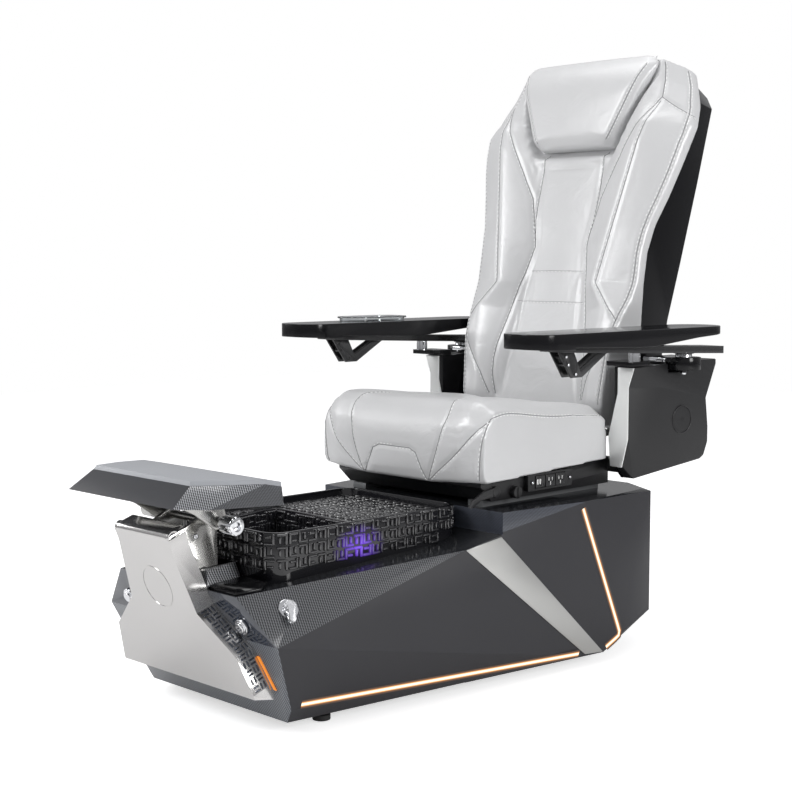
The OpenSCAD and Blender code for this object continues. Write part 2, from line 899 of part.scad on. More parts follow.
module clamp_knob() {
  ribs = 12;
  color([0.85, 0.85, 0.86])
    stand()
      difference() {
        union() {
          rod_x(118 + seat_gap, 158, tilt_y, tilt_z, 34);
          for (i = [0:ribs - 1])
            translate([122, tilt_y, tilt_z])
              rotate([i * 360 / ribs, 0, 0]) translate([0, 15, -2.5]) cube([33, 4, 5]);
        }
        rod_x(150, 160, tilt_y, tilt_z, 18);
      }
}

// --- seat -----------------------------------------------------------------------

rail_y = [590, 1010];
slide_x = 170;
pan_z = platform_z + rail_h + seat_gap;

module seat_rails() {
  color([0.3, 0.3, 0.32])
    stand()
      both()
        translate([slide_x, rail_y[0], platform_z + seat_gap / 2])
          cube([44, rail_y[1] - rail_y[0], rail_h - seat_gap / 2]);
}

function seat_under(y) =
  seat_under_z + seat_under_rise * (y - seat_y) / (seat_rear_y - seat_y);

ear_x = 222;
ear_t = 7;
module seat_pan() {
  front = seat_y + 44;
  rear = recline_y + 22;
  half = pan_w / 2;
  color([0.08, 0.08, 0.09])
    stand() {
      difference() {
        across(-half, half)
          polygon([
            [front, seat_under(front) - seat_gap], [seat_rear_y, seat_under(seat_rear_y) - seat_gap],
            [rear, seat_under(seat_rear_y) - seat_gap], [rear, pan_z], [front + 36, pan_z],
            [front, seat_under(front) - 12]
          ]);
        translate([-half + 6, front + 42, pan_z - 1]) cube([2 * half - 12, rear - front - 48, 32]);
      }
      both()
        translate([slide_x, front + 42, pan_z]) cube([40, rear - front - 48, 33]);
      both()
        difference() {
          translate([ear_x, seat_rear_y + 3, pan_z + 30])
            cube([ear_t, 34, recline_z + 16 - pan_z - 30]);
          rod_x(ear_x - 1, ear_x + ear_t + 1, recline_y, recline_z, recline_d + 2 * run_fit);
        }
      translate([-arm_x + seat_gap, rear - 2, 432])
        cube([2 * arm_x - 2 * seat_gap, 50, 30]);
    }
}

// Height of the cushion's top at a place across and along it
seat_crown = [
  [518, 596], [545, 616], [575, 627], [610, 628], [665, 622], [755, 611], [845, 604], [984, 592]
];
function seat_top(x, y) =
  let (a = abs(x) / (seat_w / 2))
    along(y, seat_crown) + 4 * ease(a, 0.45, 0.6) - 22 * ease(a, 0.8, 1) - 5 * groove(abs(x), 133, 12);

// One slice of the seat cushion, at x from the middle
function seat_slice(x) =
  let (
    a = abs(x) / (seat_w / 2),
    pull = 18 * ease(a, 0.7, 1) + 3 * groove(abs(x), 112, 12),
    front = seat_y + pull,
    rear = seat_rear_y - 8 * ease(a, 0.8, 1),
    span = rear - front - 60,
    lip = 8 * (1 - ease(a, 0.35, 0.8))
  )
  concat(
    [[x, rear, seat_under(rear)], [x, rear, seat_under(rear) + 60]],
    [[x, rear - 4, seat_top(x, rear) - 10], [x, rear - 26, seat_top(x, rear - 26) - 1]],
    [for (i = [1:9]) let (y = rear - 26 - (span - 26) * i / 9) [x, y, seat_top(x, y)]],
    [
      [x, front + 38, seat_top(x, front + 38) - 4], [x, front + 20, seat_top(x, front + 20) - 14],
      [x, front + 8, seat_top(x, front) - 24], [x, front + 2, 546], [x, front, 510],
      [x, front + 3, 470 - lip], [x, front + 12, seat_under(front) + 2 - lip],
      [x, front + 40, seat_under(front + 40)]
    ]
  );

module seat_cushion() {
  places = [-1, -0.97, -0.9, -0.8, -0.68, -0.56, -0.5, -0.46, -0.42, -0.34, -0.2, 0];
  xs = concat(places, [for (i = [len(places) - 2:-1:0]) -places[i]]);
  color([0.82, 0.82, 0.82])
    stand()
      skin([for (p = xs) seat_slice(p * seat_w / 2)]);
}

outlet_y = [707, 866];
outlet_z = [416, 456];
module outlet_box() {
  face = pan_w / 2;
  color([0.05, 0.05, 0.05])
    stand()
      difference() {
        translate([face + seat_gap, outlet_y[0], outlet_z[0]])
          cube([14, outlet_y[1] - outlet_y[0], outlet_z[1] - outlet_z[0]]);
        translate([face + 9, outlet_y[0] + 24, outlet_z[0] + 5]) cube([10, 109, 30]);
      }
}

module outlet_sockets() {
  face = pan_w / 2 + 9 + seat_gap / 2;
  color([0.2, 0.2, 0.21])
    stand() {
      for (i = [0:2])
        difference() {
          translate([face, outlet_y[0] + 26 + 36 * i, outlet_z[0] + 6]) cube([6, 33, 28]);
          for (j = i == 0 ? [0, 1] : [0, 1, 2])
            translate([face + 3, outlet_y[0] + 34 + 36 * i + 8 * j, outlet_z[0] + (j == 1 ? 10 : 15)])
              cube([4, 3, 10]);
        }
      for (y = [outlet_y[0] + 12, outlet_y[1] - 12])
        rod_x(pan_w / 2 + 14.3, pan_w / 2 + 17, y, outlet_z[0] + 20, 8);
    }
}

slide_lever_at = [604, 427];
module slide_lever() {
  face = pan_w / 2 + seat_gap;
  color([0.05, 0.05, 0.05])
    stand() {
      rod_x(face, face + 10, slide_lever_at[0], slide_lever_at[1], 24);
      across(face + 3, face + 9)
        polygon([[604, 418], [608, 438], [560, 431], [526, 414], [516, 400], [528, 399], [552, 412]]);
    }
}

tilt_knob_at = [672, 419];
module tilt_knob() {
  face = pan_w / 2 + seat_gap;
  color([0.05, 0.05, 0.05])
    stand() {
      rod_x(face, face + 14, tilt_knob_at[0], tilt_knob_at[1], 28);
      translate([face + 14, tilt_knob_at[0] - 2, tilt_knob_at[1] - 12]) cube([3, 4, 24]);
    }
}

// Geared recliner motor on the pan, with its shaft through the ears
module recline_motor() {
  color([0.5, 0.5, 0.52])
    stand() {
      rod_x(-ear_x - ear_t - 6, ear_x + ear_t + 6, recline_y, recline_z, recline_d);
      rod_x(-70, 70, recline_y, recline_z, 30);
      foot_z = seat_under(seat_rear_y) - seat_gap;
      translate([-40, recline_y - 12, foot_z]) cube([80, 24, recline_z - foot_z]);
    }
}

// --- arms -----------------------------------------------------------------------

arm_top_z = cap_z - 15;
arm_outline = [
  [arm_y + 0.5, 453], [arm_y + 0.5, arm_top_z], [1291, arm_top_z + 8], [1291, 687], [1251, 606],
  [1261, 534], [1261, 496], [1245, 463], [1235, 454], [1009, 423]
];

module arm_plates() {
  color([0.07, 0.07, 0.07])
    stand()
      both()
        across(arm_x, arm_x + arm_plate) polygon(arm_outline);
}

module arm_outer() {
  in_x = arm_x + arm_plate + seat_gap / 2;
  y0 = arm_y + 0.5;
  lump([
    [in_x, y0, 453], [310, y0, 453], [327, y0, 521], [327, y0, 644], [in_x, y0, 644],
    [338, 1025, 520], [347, 1085, 640], [in_x, 1009, 423], [320, 1009, 423],
    [in_x, 1235, 454], [355, 1235, 454], [in_x, 1245, 463], [360, 1245, 463],
    [in_x, 1261, 496], [360, 1261, 496], [in_x, 1261, 534], [360, 1261, 534],
    [in_x, 1251, 606], [360, 1251, 606]
  ]);
  lump([
    [in_x, y0, 640], [327, y0, 644], [343, y0, arm_top_z], [in_x, y0, arm_top_z],
    [347, 1085, 640], [in_x, 1251, 606], [360, 1251, 606],
    [in_x, 1291, 687], [360, 1291, 687], [in_x, 1291, arm_top_z + 8], [360, 1291, arm_top_z + 8]
  ]);
}

module arm_shell(side) {
  in_x = arm_x + arm_plate;
  color([0.2, 0.2, 0.21])
    stand()
      on(side)
        difference() {
          arm_outer();
          across(in_x - 1, in_x + 18)
            polygon([[arm_y + 14, 470], [arm_y + 14, 676], [1262, 680], [1236, 606], [1246, 480], [1010, 446]]);
          translate([swing_x, swing_y, cap_z - 32])
            cylinder(d = hub_d + 2 * seat_gap, h = 60, $fn = fine);
        }
}
module arm_shell_right() { arm_shell("right"); }
module arm_shell_left() { arm_shell("left"); }

module arm_trims() {
  color([0.73, 0.73, 0.71])
    stand()
      both()
        rearwards(arm_y - 4, arm_y)
          polygon([
            [296, arm_top_z - 1], [343, arm_top_z - 1], [327, 644], [327, 521], [310, 452], [276, 453],
            [270, 525], [296, 630]
          ]);
}

pin_d = 20;
pin_at = [350, 967];
function beam_under(y) =
  along(y, [beam_under_front, beam_under_mid, beam_under_rear]);

// Black cap on each arm with the chrome pin that a closed tray rests on
module arm_caps() {
  color([0.04, 0.04, 0.04])
    stand()
      both() {
        translate([0, 0, arm_top_z + 4.5])
          linear_extrude(cap_z - arm_top_z - 4.5) round_rect(arm_x, 362, 940, 1016, 9);
        translate([pin_at[0], pin_at[1], cap_z - 1])
          cylinder(d = pin_d, h = beam_under(pin_at[1] + pin_d / 2) - seat_gap - cap_z + 1, $fn = fine);
        translate([arm_x + 2, arm_y + 4, arm_top_z + 1.2]) cube([50, 30, 4]);
      }
}

// Steel plate on each arm with the bearing and pin that its tray swings on
module swing_hubs() {
  color([0.6, 0.61, 0.62])
    stand()
      both() {
        translate([arm_x + 4, swing_y - 58, arm_top_z + 8.3]) cube([62, 116, plate_z - arm_top_z - 8.3]);
        translate([swing_x, swing_y, cap_z - 26]) cylinder(d = hub_d, h = plate_z - cap_z + 26, $fn = fine);
        translate([swing_x, swing_y, cap_z - 34]) cylinder(d = 16, h = 9, $fn = fine);
        translate([swing_x, swing_y, plate_z - 1]) cylinder(d = 40, h = boss_z - seat_gap - plate_z + 1, $fn = fine);
        translate([swing_x, swing_y, plate_z]) cylinder(d = swing_pin_d, h = 24, $fn = fine);
      }
}

// --- trays ----------------------------------------------------------------------

// Outline of a tray's top, seen from above
module tray_plan() {
  r = (tray_outer_x - tray_inner_x) / 2;
  rear_y = 1235 - r;
  nose_r = r - 9;
  translate([tray_inner_x, tray_y + nose_r])
    square([tray_outer_x - tray_inner_x, rear_y - tray_y - nose_r]);
  translate([tray_inner_x + r, rear_y]) circle(r, $fn = fine);
  for (x = [tray_inner_x + nose_r, tray_outer_x - nose_r])
    translate([x, tray_y + nose_r]) circle(nose_r, $fn = fine);
  translate([tray_inner_x + nose_r, tray_y]) square([2 * r - 2 * nose_r, nose_r]);
}

dish_y = [712, 898];
dish_x = [tray_inner_x + 22, tray_outer_x - 18];
dish_sink = 12;
module dish_plan(g) {
  round_rect(dish_x[0] + g, dish_x[1] - g, dish_y[0] + g, dish_y[1] - g, 40 - g);
}

module tray_board(side) {
  color([0.02, 0.02, 0.02])
    stand()
      on(side)
        difference() {
          intersection() {
            translate([0, 0, 700]) linear_extrude(tray_z - 700) tray_plan();
            across(tray_inner_x - 10, tray_outer_x + 10)
              polygon([
                [tray_y - 10, tray_z + 5], [tray_y - 10, 756], [600, 752], [639, 752], [639.5, 756.5],
                [865, beam_top_mid[1] + seat_gap], [beam_top_mid[0], beam_top_mid[1] + seat_gap],
                [1000, 755], [1100, 763], [1240, 770], [1240, tray_z + 5]
              ]);
          }
          if (side == "left")
            translate([0, 0, tray_z - dish_sink]) linear_extrude(30) dish_plan(-seat_gap);
        }
}
module tray_board_right() { tray_board("right"); }
module tray_board_left() { tray_board("left"); }

module tray_beam(side) {
  color([0.12, 0.12, 0.13])
    stand()
      on(side)
        difference() {
          union() {
            across(beam_x[0], beam_x[1])
              polygon([
                beam_under_front, beam_under_mid, beam_under_rear, beam_top_rear, beam_top_mid,
                [865, beam_top_mid[1]], [640, 756.2]
              ]);
            translate([swing_x, swing_y, boss_z]) cylinder(d = 50, h = 10, $fn = fine);
          }
          translate([swing_x, swing_y, boss_z - 10])
            cylinder(d = swing_pin_d + 2 * run_fit, h = 60, $fn = fine);
        }
}
module tray_beam_right() { tray_beam("right"); }
module tray_beam_left() { tray_beam("left"); }

// Triangular steel brace under the front of a tray, with its strut and screws
bracket_x = 354;
module tray_bracket(side) {
  head = beam_under(651);
  color([0.05, 0.05, 0.05])
    stand()
      on(side) {
        for (x = [bracket_x, bracket_x + 24])
          across(x, x + 4)
            polygon([
              [651, head - seat_gap], [694, 686], [732, 686], [822, beam_under(822) - seat_gap],
              [790, beam_under(790) - seat_gap], [724, 704], [704, beam_under(704) - seat_gap]
            ]);
        for (p = [[672, 734], [680, 716], [706, 694]])
          rod_x(bracket_x - 3, bracket_x + 31, p[0], p[1], 7);
      }
}
module tray_bracket_right() { tray_bracket("right"); }
module tray_bracket_left() { tray_bracket("left"); }

// Clear bowl sunk in the left tray
module glass_dish() {
  foot_z = tray_z - dish_sink + seat_gap;
  color([0.8, 0.88, 0.9, 0.4])
    stand()
      on("left")
        difference() {
          union() {
            translate([0, 0, foot_z]) linear_extrude(24) dish_plan(0.3);
            translate([0, 0, tray_z + 8]) linear_extrude(4.3) dish_plan(-5);
          }
          translate([0, 0, foot_z + 3]) linear_extrude(40) dish_plan(4);
        }
}

// --- back -----------------------------------------------------------------------

// Leans a sub-part with the back: X across, Y behind its front face, Z up its slope
module lean() {
  translate([0, back_y, seat_line_z]) rotate([-back_lean, 0, 0]) children();
}

// Place of the recliner shaft in the leaning frame, as depth and height
recline_d_w = [
  (recline_y - back_y) * cos(back_lean) - (recline_z - seat_line_z) * sin(back_lean),
  (recline_y - back_y) * sin(back_lean) + (recline_z - seat_line_z) * cos(back_lean)
];

wing_x = 206;
back_low = -58;
function back_half(w) =
  along(w, [[-58, 224], [0, 231], [150, 243], [200, 250], [250, 260], [300, 264], [380, 264],
            [447, 272], [520, 293], [600, 314], [700, 332], [760, 314], [back_len, 275]]);
function wing_depth(w) =
  along(w, [[-58, 72], [100, 90], [150, 88], [200, 72], [250, 51], [300, 38.5], [380, 35],
            [447, 40], [520, 50], [600, 57], [700, 72], [760, 97], [back_len, 115]]);

// The line from which each wing falls back, and how far it falls at its outer edge
function ridge(w) = along(w, [[196, 240], [293, 156], [750, 240], [back_len, 222]]);
function wing_fall(w) =
  along(w, [[150, 0], [200, 11], [250, 26], [300, 34.5], [380, 30], [447, 35], [520, 44.5],
            [600, 51.5], [700, 59], [760, 49], [back_len, 44.5]]);
function pillow_half(w) = along(w, [[640, 122], [860, 214]]);
function seam_half(w) =
  along(w, [[-58, 150], [120, 104], [415, 88], [520, 106], [640, 130], [back_len, 185]]);

// How far the side bolsters stand out ahead of the middle, and fall back at the shoulders
function bolster(w) =
  along(w, [[-58, 8], [0, 30], [100, 39], [150, 42], [300, 34], [650, 32], [700, 23], [750, -9],
            [800, -32], [back_len, -41]]);

// 1 in the pocket behind the head pillow, 0 outside it
pocket_d = 34;
function pocket(a, w) =
  ease(w, 622, 644) * (1 - ease(a, pocket_edge(w), pocket_edge(w) + 12));

// Depth of the back cushion's front face behind the leaning plane
function back_face(x, w) =
  let (
    a = abs(x),
    half = back_half(w),
    seam = seam_half(w),
    edge_r = 12,
    u = min(1, max(0, a - half + edge_r) / edge_r)
  )
    14 * (1 - ease(a, seam - 20, seam + 26)) * (1 - ease(w, 600, 650))
    + pocket_d * pocket(a, w)
    + 3 * groove(a, seam, 9)
    - bolster(w) * (1 - pocket(a, w)) * ease(a, seam, crest(w))
    + wing_fall(w) * min(1, max(0, (a - crest(w)) / (half - crest(w))))
    + edge_r * (1 - sqrt(1 - u * u))
    + 20 * (1 - ease(w, -58, -20));

// Depth of the cushion's rear: flat in the middle, deeper in the wings that wrap the shell
function back_rear(x, w) = x >= wing_x ? wing_depth(w) : back_pad_t;

// The top of the cushion rises towards the front
function risen(d, w) = w + (46 - 0.4 * d) * ease(w, 740, back_len);

// Where the surface falls from the wing into the pillow's pocket
function pocket_edge(w) = pillow_half(risen(pocket_d, w)) + 4;
function crest(w) = max(seam_half(w) + 24, min(back_half(w) - 40, ridge(w)));

// Places across the front face, from the outer edge to the middle
function front_xs(w) =
  let (
    half = back_half(w),
    seam = seam_half(w),
    edge = pocket_edge(w),
    top = w < 622 ? crest(w) : max(crest(w), edge + 16),
    foot = w < 622 ? seam + 9 : edge + 13
  )
  concat(
    [half, half - 2.4, half - 7, half - 12, (half - 12 + top) / 2, top],
    w < 622
      ? [top + (foot - top) * 0.4, top + (foot - top) * 0.75, foot, seam, seam - 9, seam - 26]
      : [(top + foot) / 2, foot, edge + 8, edge + 4, edge, edge - 20],
    [60, 30]
  );

function rear_xs(w) =
  let (half = back_half(w), in_x = wing_x - 2)
  concat(
    [half, half - 2.4, half - 7, half - 12, max(half - 30, wing_x + 3), wing_x, in_x],
    [for (i = [1:7]) in_x + (30 - in_x) * i / 7]
  );

function back_slice(w) =
  let (
    fronts = [for (x = front_xs(w)) let (d = back_face(x, w)) [x, d, risen(d, w)]],
    rears = [
      for (x = rear_xs(w))
        let (d = back_rear(x, w) - (x == back_half(w) ? 7 : 0)) [x, d, risen(d, w)]
    ],
    last = len(fronts) - 1
  )
  concat(
    fronts,
    [for (i = [last:-1:0]) [-fronts[i][0], fronts[i][1], fronts[i][2]]],
    [for (p = rears) [-p[0], p[1], p[2]]],
    [for (i = [last:-1:0]) rears[i]]
  );

module back_cushion() {
  ws = [
    back_low, -40, 0, 100, 150, 200, 250, 300, 380, 447, 520, 600, 622, 633, 644, 700, 740,
    760, 790, 820, back_len
  ];
  color([0.82, 0.82, 0.82])
    stand()
      lean()
        skin([for (w = ws) back_slice(w)], ladder = true);
}

pillow_w = [646, 886];
function pillow_slice(w) =
  let (
    t = (w - pillow_w[0]) / (pillow_w[1] - pillow_w[0]),
    half = pillow_half(w) - 7 * (1 - ease(t, 0, 0.08)) - 10 * ease(t, 0.9, 1),
    front = -16 + 14 * (1 - ease(t, 0, 0.12)) + 44 * pow(max(0, t - 0.55) / 0.45, 2),
    rear = 33.4,
    mid = (front + rear) / 2
  )
  [
    [half - 12, front + 3, w], [half * 0.6, front - 6 * ease(t, 0.05, 0.3), w],
    [0, front - 9 * ease(t, 0.05, 0.3), w], [-half * 0.6, front - 6 * ease(t, 0.05, 0.3), w],
    [-half + 12, front + 3, w], [-half + 2, front + 10, w], [-half, mid + 2, w],
    [-half + 1, rear, w], [0, rear, w], [half - 1, rear, w], [half, mid + 2, w],
    [half - 2, front + 10, w]
  ];

module head_pillow() {
  steps = 12;
  color([0.83, 0.83, 0.83])
    stand()
      lean()
        skin([
          for (i = [0:steps]) pillow_slice(pillow_w[0] + (pillow_w[1] - pillow_w[0]) * i / steps)
        ]);
}

shell_low = -50;
shell_top = 852;
shell_shoulder = 789;
shell_places = [shell_low, 245, 600, shell_shoulder, shell_top];
function shell_half(w) =
  along(w, [[shell_low, 212], [245, 216], [600, 255], [shell_shoulder, 271], [shell_top, 222]]);

// Front outline of the rear shell, drawn in by g
module shell_face(g) {
  side = [for (w = shell_places)
    [shell_half(w) - g, w == shell_low ? w + g : w == shell_top ? w - g : w]];
  polygon(closed(side));
}

// Side outline of the rear shell in depth and height, drawn in by g
module shell_profile(g) {
  polygon([
    [0, shell_low + g], [150, shell_low + g], [shell_d - 10 - g, 60], [shell_d + 22 - g, 300],
    [shell_d + 24 - g, 640], [shell_d + 14 - g, shell_shoulder + 10],
    [shell_d - 40 - g, shell_top - g],
    [0, shell_top - g]
  ]);
}

// Plan of the rear shell: its back is bowed
module shell_plan(g) {
  reach = shell_d + 30;
  polygon([
    [300, 0], [300, shell_d - 30], [232 - g, shell_d - 4 - g], [150 - g / 2, shell_d + 14 - g],
    [60, reach - g - 8], [-60, reach - g - 8], [-150 + g / 2, shell_d + 14 - g],
    [-232 + g, shell_d - 4 - g], [-300, shell_d - 30], [-300, 0]
  ]);
}

module shell_solid(g) {
  intersection() {
    rotate([90, 0, 0]) translate([0, 0, -400]) linear_extrude(400) shell_face(g);
    across(-320, 320) shell_profile(g);
    translate([0, 0, -200]) linear_extrude(1200) shell_plan(g);
  }
}

module back_shell() {
  wall = 5;
  color([0.05, 0.05, 0.06])
    stand()
      lean()
        difference() {
          shell_solid(0);
          shell_solid(wall);
          wing_cut();
        }
}

// Space taken by the cushion and its wings in front of the shell
module wing_cut() {
  ws = [shell_low - 20, 100, 150, 200, 250, 300, 380, 447, 520, 600, 700, 760, back_len,
        shell_top + 20];
  in_x = wing_x - 2 - seat_gap;
  for (x = [-330, in_x])
    across(x, x + 330 - in_x)
      polygon(concat(
        [[-50, shell_top + 20], [-50, shell_low - 20]],
        [for (w = ws) [wing_depth(w) + 0.4, w]]
      ));
  across(-wing_x, wing_x)
    polygon([
      [-50, shell_top + 20], [-50, shell_low - 20], [124, shell_low - 20], [124, 20],
      [back_pad_t + 0.4, 50], [back_pad_t + 0.4, shell_top + 20]
    ]);
}

frame_x = [188, 195];
frame_top = 735;
rod_depth = 148;
bar_w = [10, 715];
module back_frame() {
  d0 = recline_d_w[0];
  w0 = recline_d_w[1];
  color([0.5, 0.51, 0.53])
    stand()
      lean() {
        both()
          difference() {
            across(frame_x[0], frame_x[1])
              polygon([
                [d0 - 13, w0 - 4], [d0 - 8, w0 - 11], [d0 + 12, w0 - 18], [100, -62], [112, 0],
                [112, frame_top], [76, frame_top], [76, -50], [66, -62], [60, -66], [d0 + 10, w0 + 18],
                [d0 - 12, w0 + 14]
              ]);
            rod_x(frame_x[0] - 1, frame_x[1] + 1, d0, w0, recline_d + 2 * run_fit);
          }
        both() {
          translate([frame_x[1], 90, 60]) cube([wing_x - 1 - frame_x[1], 20, 30]);
          translate([frame_x[0], back_pad_t + seat_gap, 660])
            cube([frame_x[1] - frame_x[0], 12, 30]);
        }
      }
}

module back_crossbars() {
  color([0.5, 0.51, 0.53])
    stand()
      lean()
        for (w = bar_w)
          translate([-frame_x[0], 84, w]) cube([2 * frame_x[0], 24, 16]);
}

module massage_rails() {
  color([0.75, 0.76, 0.78])
    stand()
      lean() {
        for (w = bar_w)
          translate([-rod_gap / 2 - 16, 108 + seat_gap / 2, w]) cube([rod_gap + 32, rod_depth - 92, 16]);
        for (x = [-rod_gap / 2, rod_gap / 2])
          translate([x, rod_depth, bar_w[0]]) cylinder(d = rod_d, h = bar_w[1] - bar_w[0] + 16, $fn = fine);
        translate([-8, rod_depth + 14, bar_w[0]]) cube([16, 6, bar_w[1] - bar_w[0] + 16]);
      }
}

roller_depth = 100;
carriage_h = 60;
module massage_carriage() {
  half = rod_gap / 2 + 20;
  color([0.2, 0.2, 0.22])
    stand()
      lean()
        translate([0, 0, carriage_w - carriage_h / 2])
          difference() {
            union() {
              translate([-half, rod_depth - 15, 0]) cube([2 * half, 28.5, carriage_h]);
              both() translate([18, roller_depth - 12, 12]) cube([6, rod_depth - roller_depth, 36]);
              translate([-16, rod_depth - 34, 8]) cube([32, 20, 44]);
            }
            for (x = [-rod_gap / 2, rod_gap / 2])
              translate([x, rod_depth, -1]) cylinder(d = rod_d + 2 * run_fit, h = carriage_h + 2, $fn = fine);
            rod_x(-30, 30, roller_depth, carriage_h / 2, 10 + 2 * run_fit);
          }
}

module massage_rollers() {
  color([0.12, 0.12, 0.12])
    stand()
      lean()
        translate([0, roller_depth, carriage_w]) {
          rod_x(-62, 62, 0, 0, 10);
          both() rod_x(30, 56, 0, 0, roller_d);
        }
}

base_shell();
chassis_rails();
chassis_crossbars();
levelling_feet();
basin();
basin_lights();
jet_pump();
jet_impeller();
drain_pipe();
drain_stopper();
fill_spout();
valve_bodies();
control_box();
front_shield();
amber_light();
post_cover();
deck_covers();
side_trim_right();
side_trim_left();
led_strips_right();
led_strips_left();
escutcheons();
lever_right();
lever_left();
knob_right();
knob_left();
footrest_post();
footrest_shell();
footrest_pad();
footrest_arms();
clamp_knob();
seat_rails();
seat_pan();
seat_cushion();
outlet_box();
outlet_sockets();
slide_lever();
tilt_knob();
recline_motor();
arm_plates();
arm_shell_right();
arm_shell_left();
arm_trims();
arm_caps();
swing_hubs();
tray_board_right();
tray_board_left();
tray_beam_right();
tray_beam_left();
tray_bracket_right();
tray_bracket_left();
glass_dish();
back_frame();
back_crossbars();
back_shell();
back_cushion();
head_pillow();
massage_rails();
massage_carriage();
massage_rollers();
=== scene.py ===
import json
import math
from functools import partial

import bpy
import bmesh
from mathutils import Matrix, Vector
from mathutils.bvhtree import BVHTree
from mathutils.kdtree import KDTree

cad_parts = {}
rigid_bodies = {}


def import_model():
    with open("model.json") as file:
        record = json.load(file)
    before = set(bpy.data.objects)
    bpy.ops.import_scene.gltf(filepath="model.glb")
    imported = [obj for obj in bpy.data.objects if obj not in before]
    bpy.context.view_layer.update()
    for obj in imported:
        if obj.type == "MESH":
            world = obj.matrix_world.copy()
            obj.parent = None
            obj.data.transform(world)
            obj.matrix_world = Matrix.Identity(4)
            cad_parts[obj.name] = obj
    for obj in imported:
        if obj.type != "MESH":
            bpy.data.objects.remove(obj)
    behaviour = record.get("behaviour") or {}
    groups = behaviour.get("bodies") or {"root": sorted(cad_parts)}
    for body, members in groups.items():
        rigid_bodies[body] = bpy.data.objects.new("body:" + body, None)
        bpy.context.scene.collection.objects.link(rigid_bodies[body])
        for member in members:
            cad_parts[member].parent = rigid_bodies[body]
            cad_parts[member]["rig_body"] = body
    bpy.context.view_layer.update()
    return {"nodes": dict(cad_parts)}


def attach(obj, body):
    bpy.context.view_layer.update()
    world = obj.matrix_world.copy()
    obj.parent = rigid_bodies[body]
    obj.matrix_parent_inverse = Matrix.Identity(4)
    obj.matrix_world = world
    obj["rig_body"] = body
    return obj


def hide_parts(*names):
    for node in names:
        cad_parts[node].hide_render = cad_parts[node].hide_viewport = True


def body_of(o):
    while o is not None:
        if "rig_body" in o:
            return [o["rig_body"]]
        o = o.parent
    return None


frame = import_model()
scene = bpy.context.scene
scene.view_settings.view_transform = "Standard"

# --- Camera ---------------------------------------------------------------------
# A 68 mm lens on a full-frame sensor, standing to the front right of the chair at
# about the height of the arm trays.
FRONT_EDGE_Y = -0.590
camera_data = bpy.data.cameras.new("camera")
camera_data.lens = 68.18
camera_data.sensor_width = 36
camera = bpy.data.objects.new("camera", camera_data)
scene.collection.objects.link(camera)
camera.location = (2.469, -1.891 + FRONT_EDGE_Y, 0.945)
turn, rise = math.radians(45.6), math.radians(5.17)
away = Vector((math.sin(turn) * math.cos(rise), -math.cos(turn) * math.cos(rise), math.sin(rise)))
camera.rotation_mode = "QUATERNION"
camera.rotation_quaternion = (-away).to_track_quat("-Z", "Y")
scene.camera = camera

# --- Studio ---------------------------------------------------------------------
# A white room with four soft boxes and a pale floor. Mirror-like metal sees a softer
# room than the camera does: light above, darker at the level of the floor.
ROOM_GREYS = [(0.0, 0.20), (0.36, 0.26), (0.47, 0.42), (0.56, 0.78), (0.72, 0.95), (1.0, 0.8)]
ROOM_LIGHT = 0.56
FLOOR_GLOW = 0.62
AIM = Vector((0, 0, 0.55))


def fill(tree, socket, value):
    """A socket takes a value, or the output of another node"""
    if isinstance(value, bpy.types.NodeSocket):
        tree.links.new(value, socket)
    else:
        socket.default_value = value


def feed(tree, node, **inputs):
    """Fills a node's inputs by name, with _ for a space"""
    for label, value in inputs.items():
        fill(tree, node.inputs[label.replace("_", " ")], value)


def add(tree, kind, **inputs):
    """A new node with these inputs"""
    node = tree.nodes.new(kind)
    feed(tree, node, **inputs)
    return node


def reckon(tree, operation, *values):
    """What a math node makes of the values"""
    node = tree.nodes.new("ShaderNodeMath")
    node.operation = operation
    for socket, value in zip(node.inputs, values):
        fill(tree, socket, value)
    return node.outputs[0]


def ramp(tree, fac, stops):
    """The colour of a ramp whose stops are given as places and colours"""
    node = add(tree, "ShaderNodeValToRGB", Fac=fac)
    for i, (spot, colour) in enumerate(stops):
        stop = node.color_ramp.elements[i] if i < 2 else node.color_ramp.elements.new(spot)
        stop.position = spot
        stop.color = (*colour, 1)
    return node.outputs["Color"]


def plain(name):
    """A new material with nothing but its shader"""
    paint = bpy.data.materials.new(name)
    paint.use_nodes = True
    return paint


def tune(paint, **inputs):
    """The material with these inputs on its shader"""
    feed(paint.node_tree, paint.node_tree.nodes["Principled BSDF"], **inputs)
    return paint


world = bpy.data.worlds.new("studio")
scene.world = world
world.use_nodes = True
tree = world.node_tree
tree.nodes.clear()
parts = add(tree, "ShaderNodeSeparateXYZ", Vector=add(tree, "ShaderNodeTexCoord").outputs["Generated"])
height = add(tree, "ShaderNodeMapRange", Value=parts.outputs["Z"], From_Min=-1)
room = ramp(tree, height.outputs["Result"], [(spot, (grey, grey, grey * 1.02)) for spot, grey in ROOM_GREYS])
lighting = add(tree, "ShaderNodeBackground", Color=room, Strength=ROOM_LIGHT)
seen = add(tree, "ShaderNodeBackground", Color=(1, 1, 1, 1))
choose = add(tree, "ShaderNodeMixShader", Fac=add(tree, "ShaderNodeLightPath").outputs["Is Camera Ray"])
tree.links.new(lighting.outputs[0], choose.inputs[1])
tree.links.new(seen.outputs[0], choose.inputs[2])
add(tree, "ShaderNodeOutputWorld", Surface=choose.outputs[0])

